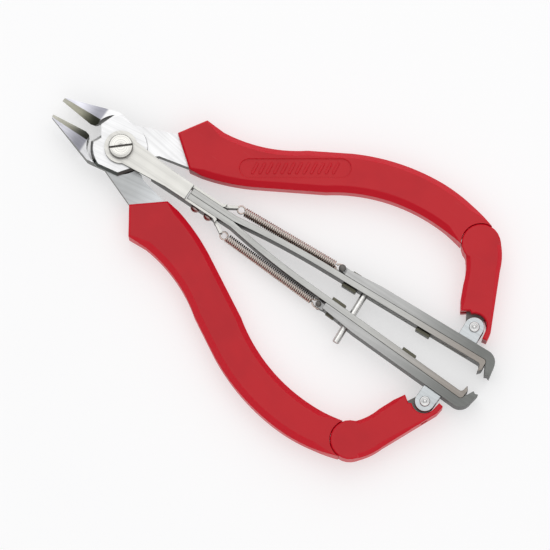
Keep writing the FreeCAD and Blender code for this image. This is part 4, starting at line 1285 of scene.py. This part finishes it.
@dataclass
class Arm:
    """One stripping arm: leaf-spring inner bar, sliding outer bar, clevis, lugs and return spring."""

    side: Side
    low: float = 1.0
    high: float = 9.0
    rounding: float = 0.24
    leaf_rounding: float = 0.168
    strip_rounding: float = 0.2
    lug_rounding: float = 0.15
    inner_thick: float = 2.1
    gap: float = 0.06
    outer_thick: float = 3.05
    bow_radius: float = 308.0
    bow_long: float = 34.0
    root_start: float = 28.2
    root_end: float = 45.6
    bend_reach: Point = (-4.0, 8.0)
    hook_centre: float = 61.7
    hook_bend: float = 4.3
    lug_first: float = 10.4
    lug_pitch: float = 29.0
    lug_long: float = 5.3
    lug_stem: float = 3.2
    stem_half: float = 1.0
    lug_proud: float = 1.2
    lug_high: float = 4.0
    guide_at: float = 16.0
    stroke: float = 14.9
    track_half: float = 1.3
    track_past: float = 1.7
    track_room: float = 0.3
    pin_at: float = 5.1
    pin_off: float = 1.62
    clevis_pin: float = 1.1
    clevis_head: float = 1.75
    clevis_low: float = 1.9
    clevis_high: float = 8.1

    @property
    def word(self) -> str:
        """The side's word, which starts the names of its pieces."""
        return self.side.value

    @property
    def place(self) -> Matrix:
        """The place of a piece drawn in the arm's own frame."""
        return self.side.place @ ARM.place

    @property
    def pin_across(self) -> float:
        """Where the spring's pin stands, across the arm."""
        return self.inner_thick + self.gap + self.pin_off

    def bow(self, radius: float, back: float) -> Point:
        """A place on the bowed stretch, back from the straight one, in the arm's frame."""
        turn = back / self.bow_radius
        return -radius * math.sin(turn), radius * math.cos(turn) - self.bow_radius

    def leaf_outline(self) -> Outline:
        """The whole leaf in the object's frame: clamped root, bow, straight stretch and hook."""
        outside = self.bow_radius + self.inner_thick
        bend = self.hook_bend - self.outer_thick - self.gap
        centre = (self.hook_centre, self.inner_thick - bend)
        below = [self.bow(self.bow_radius, self.bow_long / 2), (0, 0), (60.9, 0), (61.5, -0.6), (61.9, -2.8),
                 (63.0, -1.5), (centre[0] + bend, centre[1] - 0.6), (centre[0] + bend, centre[1])]
        corner = around(centre, bend, 45)
        above = [(centre[0], self.inner_thick), (0, self.inner_thick)]
        back = self.bow(outside, self.bow_long / 2)
        first, *rest = [ARM.point(*place) for place in below]
        return [
            (self.root_start, 0.0), (self.root_end, 0.0), Arc(*first), *rest, Arc(*ARM.point(*corner), 6),
            *[ARM.point(*place) for place in above], Arc(*ARM.point(*back)),
            (self.root_end, self.inner_thick), (self.root_start, self.inner_thick),
        ]

    def build_leaf(self, dresser: Dresser) -> None:
        """The leaf in one strip, with the two tracks that the lugs slide in."""
        leaf = as_object(plate(self.leaf_outline(), self.low, self.high), f"{self.word}_leaf",
                         self.side.place)
        room = self.lug_stem / 2 + self.track_room
        second = self.lug_first + self.lug_pitch
        spans = ((self.lug_first - room, self.guide_at + self.stroke + self.track_past),
                 (second - room, second + self.stroke + room))
        for start, end in spans:
            carve(leaf, block(Vector((start, -1.0, MID_HIGH - self.track_half)),
                              Vector((end, self.inner_thick + 1.0, MID_HIGH + self.track_half)), self.place))
        soften(leaf, self.leaf_rounding, sharp_above=30.0)
        start, end = (self.side.place @ (Vector((self.root_end + past, 1.0, MID_HIGH)) * MM)
                      for past in self.bend_reach)
        dresser.stretch(leaf, ("yoke_body", f"{self.word}_arm"), (start, end), "bar_steel", Finish.LEAF,
                        f"{self.word}_bar_root", f"{self.word}_inner_bar")

    def build_slide(self, dresser: Dresser) -> None:
        """The outer bar, its lugs, the spring's pin, the clevis and its rivet."""
        body = f"{self.word}_bar"
        bar = dresser.refine(f"{self.word}_outer_bar", f"{self.word}_slide_bar", self.rounding)
        dresser.dress(bar, body, "bar_steel", Finish.SLIDE_BAR, f"{self.word}_outer_bar")
        self.lugs(dresser, body)
        profile = [(0, 1.8), (0.75, 1.8), (0.9, 1.95), (0.9, 8.1), (1.2, 8.2), (1.2, 8.5), (1.0, 8.7),
                   (0, 8.7)]
        turned = lathe(profile, standing(self.pin_at, self.pin_across), 32)
        pin = as_object(turned, f"{self.word}_spring_knob", self.place)
        soften(pin, 0.0)
        dresser.dress(pin, body, "zinc_steel", Finish.DARK, f"{self.word}_spring_pin")
        strip = dresser.refine(f"{self.word}_clevis", f"{self.word}_clevis_strip", self.strip_rounding)
        dresser.dress(strip, body, "zinc_steel", Finish.ZINC, f"{self.word}_clevis")
        self.clevis_rivet(dresser, body)

    def lugs(self, dresser: Dresser, body: str) -> None:
        """The two riveted lugs: box heads inside the arm and stems through both bars."""
        outside = self.inner_thick + self.gap + self.outer_thick
        shapes = ((self.lug_long / 2, -self.gap - self.lug_proud, -self.gap, self.lug_high / 2),
                  (self.lug_stem / 2, -self.gap, outside, self.stem_half))
        parts = [block(Vector((at - half, near, MID_HIGH - rise)), Vector((at + half, far, MID_HIGH + rise)),
                       self.place)
                 for at in (self.lug_first, self.lug_first + self.lug_pitch)
                 for half, near, far, rise in shapes]
        piece = as_object(joined(parts), f"{self.word}_lug_blocks")
        soften(piece, self.lug_rounding)
        dresser.dress(piece, body, "zinc_steel", Finish.LUG, f"{self.word}_slide_lugs")

    def clevis_rivet(self, dresser: Dresser, body: str) -> None:
        """The clevis rivet with a ringed head at each end."""
        top, low = self.clevis_high, self.clevis_low
        head = [(self.clevis_pin, top), (self.clevis_head, top), (self.clevis_head, top + 0.4),
                (self.clevis_head - 0.2, top + 0.6), (1.15, top + 0.6), (1.0, top + 0.45), (0.8, top + 0.45),
                (0.65, top + 0.7), (0, top + 0.7)]
        foot = [(radius, low + top - height) for radius, height in reversed(head)]
        piece = as_object(lathe([*foot, *head], standing(*CLEVIS), 40), f"{self.word}_clevis_pin",
                          self.side.place)
        soften(piece, 0.0)
        finish = Finish.UPPER_RIVET if self.side is Side.UPPER else Finish.LOWER_RIVET
        dresser.dress(piece, body, "zinc_steel", finish, f"{self.word}_clevis_rivet")

    def build(self, dresser: Dresser) -> None:
        """Builds the arm's pieces."""
        self.build_leaf(dresser)
        self.build_slide(dresser)
        ReturnSpring(self.side, ARM.point(self.pin_at, self.pin_across)).build(dresser)


@dataclass
class ReturnSpring:
    """One return spring: a close-wound coil with a loop at each end."""

    side: Side
    pin: Point
    start: Point = (46.4, 5.35)
    outer: float = 1.6
    wire: float = 0.56
    pitch: float = 0.74
    end_room: float = 2.4
    steps: int = 20
    wire_sides: int = 8
    loop: float = 1.3
    loop_turn: float = 330.0
    loop_start: float = 15.0
    near_back: float = 1.1
    far_back: float = 0.55
    far_stretch: float = 1.45

    def ring_section(self, bm: Mesh, radius: float) -> list[bmesh.types.BMVert]:
        """A round wire section beside the Z axis, at a radius from it."""
        made = bmesh.ops.create_circle(bm, segments=self.wire_sides, radius=self.wire / 2 * MM)
        upright = Matrix.Translation((radius * MM, 0, 0)) @ Matrix.Rotation(math.pi / 2, 4, "X")
        bmesh.ops.transform(bm, matrix=upright, verts=made["verts"])
        return made["verts"]

    def wound(self, radius: float, degrees: float, rise: float, steps: int) -> Mesh:
        """Wire wound round the Z axis.

        Args:
            radius: Radius of the wire's centre line.
            degrees: How far it is wound.
            rise: How far it rises over that.
            steps: Number of steps.

        Returns:
            The closed mesh.
        """
        bm = bmesh.new()
        section = self.ring_section(bm, radius)
        edges = list(bm.edges)
        bmesh.ops.spin(bm, geom=section + edges, cent=(0, 0, 0), axis=(0, 0, 1),
                       dvec=(0, 0, rise * MM / steps), angle=math.radians(degrees), steps=steps,
                       use_merge=False)
        bmesh.ops.holes_fill(bm, edges=[e for e in bm.edges if e.is_boundary], sides=self.wire_sides)
        bmesh.ops.recalc_face_normals(bm, faces=bm.faces)
        return bm

    def build(self, dresser: Dresser) -> None:
        """Winds the coil along the line from the yoke's hook to the pin, and adds the loops."""
        line = Vector((*self.pin, 0)) - Vector((*self.start, 0))
        along = line.normalized()
        turn = math.atan2(along.y, along.x)
        long = line.length - self.end_room
        origin = Matrix.Translation((self.start[0] * MM, self.start[1] * MM, MID_HIGH * MM))
        lying = origin @ Matrix.Rotation(turn, 4, "Z") @ Matrix.Rotation(math.pi / 2, 4, "Y")
        turns = round(long / self.pitch)
        coil = self.wound(self.outer - self.wire / 2, 360 * turns, long - self.wire, turns * self.steps)
        bmesh.ops.translate(coil, vec=(0, 0, self.wire / 2 * MM), verts=coil.verts)
        bmesh.ops.transform(coil, matrix=lying, verts=coil.verts)
        near = self.end_loop(Vector((*self.start, 0)) - along * self.near_back, turn, 1.0)
        far = self.end_loop(Vector((*self.pin, 0)) - along * self.far_back, turn + math.pi,
                            self.far_stretch)
        piece = as_object(joined([coil, near, far]), f"{self.side.value}_coil", self.side.place)
        soften(piece, 0.0)
        arm = f"{self.side.value}_arm"
        bar = f"{self.side.value}_bar"
        ends = (Vector((*self.start, MID_HIGH)) * MM, (Vector((*self.start, MID_HIGH)) + along * long) * MM)
        span = (self.side.place @ ends[0], self.side.place @ ends[1])
        dresser.stretch(piece, (arm, bar), span, "spring_wire", Finish.WIRE, f"{self.side.value}_spring")

    def end_loop(self, centre: Vector, turn: float, stretch: float) -> Mesh:
        """A loop of the wire lying flat, open towards the coil's far side.

        Args:
            centre: The loop's centre.
            turn: Direction of the loop's opening.
            stretch: How much longer than wide the loop is.

        Returns:
            The loop's mesh.
        """
        loop = self.wound(self.loop, self.loop_turn, 0.0, 30)
        place = (Matrix.Translation((centre.x * MM, centre.y * MM, MID_HIGH * MM))
                 @ Matrix.Rotation(turn, 4, "Z") @ Matrix.Diagonal((stretch, 1.0, 1.0, 1.0))
                 @ Matrix.Rotation(math.radians(self.loop_start), 4, "Z"))
        bmesh.ops.transform(loop, matrix=place, verts=loop.verts)
        return loop


@dataclass
class GuidePin:
    """The cross pin that is fixed in the upper bar and passes through the lower one."""

    at: float = 16.0
    radius: float = 1.2
    long: float = 24.0
    head: float = 5.21
    rounding: float = 0.3

    def build(self, dresser: Dresser) -> None:
        """Builds the pin with a rounded rim at each end."""
        start, end, less = self.head - self.long, self.head, self.radius - self.rounding
        profile = [(0, start), (less, start), (self.radius, start + self.rounding),
                   (self.radius, end - self.rounding), (less, end), (0, end)]
        bm = lathe(profile, crosswise(self.at, MID_HIGH), 32)
        piece = as_object(bm, "cross_pin", ARM.place)
        soften(piece, 0.0)
        dresser.dress(piece, "upper_bar", "zinc_steel", Finish.PIN, "guide_pin")


# ---- studio
@dataclass
class Studio:
    """The pale floor, the soft lights and the camera."""

    azimuth: float = 33.7
    elevation: float = 81.0
    distance: float = 1.6
    view_width: float = 0.1854
    aim: Triple = (0.0671, -0.0069, 0.005)
    sensor: float = 36.0
    floor_half: float = 2.5
    floor_light: Colour = (0.54, 0.54, 0.54)
    floor_dark: Colour = (0.52, 0.52, 0.52)
    key: Triple = (-0.35, 0.75, 1.15)
    fill: Triple = (0.7, -0.5, 0.9)

    def camera(self) -> None:
        """Puts the camera at its azimuth and elevation round the aim."""
        data = bpy.data.cameras.new("camera")
        data.sensor_width = self.sensor
        data.lens = self.sensor * self.distance / self.view_width
        camera = bpy.data.objects.new("camera", data)
        turn, rise = math.radians(self.azimuth), math.radians(self.elevation)
        away = Vector((math.sin(turn) * math.cos(rise), -math.cos(turn) * math.cos(rise), math.sin(rise)))
        camera.location = Vector(self.aim) + away * self.distance
        camera.rotation_euler = (math.pi / 2 - rise, 0, turn)
        bpy.context.scene.collection.objects.link(camera)
        bpy.context.scene.camera = camera

    def floor(self) -> None:
        """A plain pale floor just under the tool."""
        bm = bmesh.new()
        bmesh.ops.create_grid(bm, x_segments=1, y_segments=1, size=self.floor_half)
        floor = as_object(bm, "floor", Matrix.Translation((0, 0, -0.05 * MM)))
        surface = Surface("pale floor")
        tone = surface.mix(surface.noise(surface.coordinates, 6.0, 2.0), self.floor_light, self.floor_dark)
        surface.put(Base_Color=tone, Emission_Color=(1.0, 1.0, 1.0), Emission_Strength=0.50, Roughness=0.9,
                    Specular_IOR_Level=0.1)
        floor.data.materials.append(surface.material)

    def light(self, name: str, place: Vector, size: float, power: float) -> None:
        """A square soft light that points at the tool.

        Args:
            name: The light's name.
            place: Where it hangs.
            size: Its side.
            power: Its power in watts.
        """
        data = bpy.data.lights.new(name, "AREA")
        data.size = size
        data.energy = power
        lamp = bpy.data.objects.new(name, data)
        lamp.location = place
        lamp.rotation_euler = (Vector(self.aim) - place).to_track_quat("-Z", "Y").to_euler()
        bpy.context.scene.collection.objects.link(lamp)

    def sky(self) -> None:
        """Soft light from all round, brightest overhead."""
        world = bpy.data.worlds.new("studio")
        world.use_nodes = True
        bpy.context.scene.world = world
        graph = Graph(world.node_tree)
        height = graph.split(graph.add("TexCoord").outputs["Generated"])[2]
        colour = graph.mix(graph.ramp(height, 0.0, 0.95), (0.42, 0.42, 0.43), (0.95, 0.95, 0.96))
        background = world.node_tree.nodes["Background"]
        graph.feed(background.inputs["Color"], colour)
        background.inputs["Strength"].default_value = 0.80

    def build(self) -> None:
        """Builds the whole studio."""
        self.camera()
        self.floor()
        self.sky()
        self.light("key", Vector(self.key), 1.8, 7.0)
        self.light("fill", Vector(self.fill), 1.2, 1.5)
        bpy.context.scene.view_settings.view_transform = "Standard"


def main() -> None:
    """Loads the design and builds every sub-assembly."""
    logging.basicConfig(level=logging.INFO, format="%(name)s: %(message)s")
    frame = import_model()
    dresser = Dresser(frame)
    Studio().build()
    Jaws().build(dresser)
    Pivot().build(dresser)
    for side in Side:
        Handle(side).build(dresser)
        Leg(side).build(dresser)
        Arm(side).build(dresser)
    GuidePin().build(dresser)


if __name__ == "__main__":
    main()
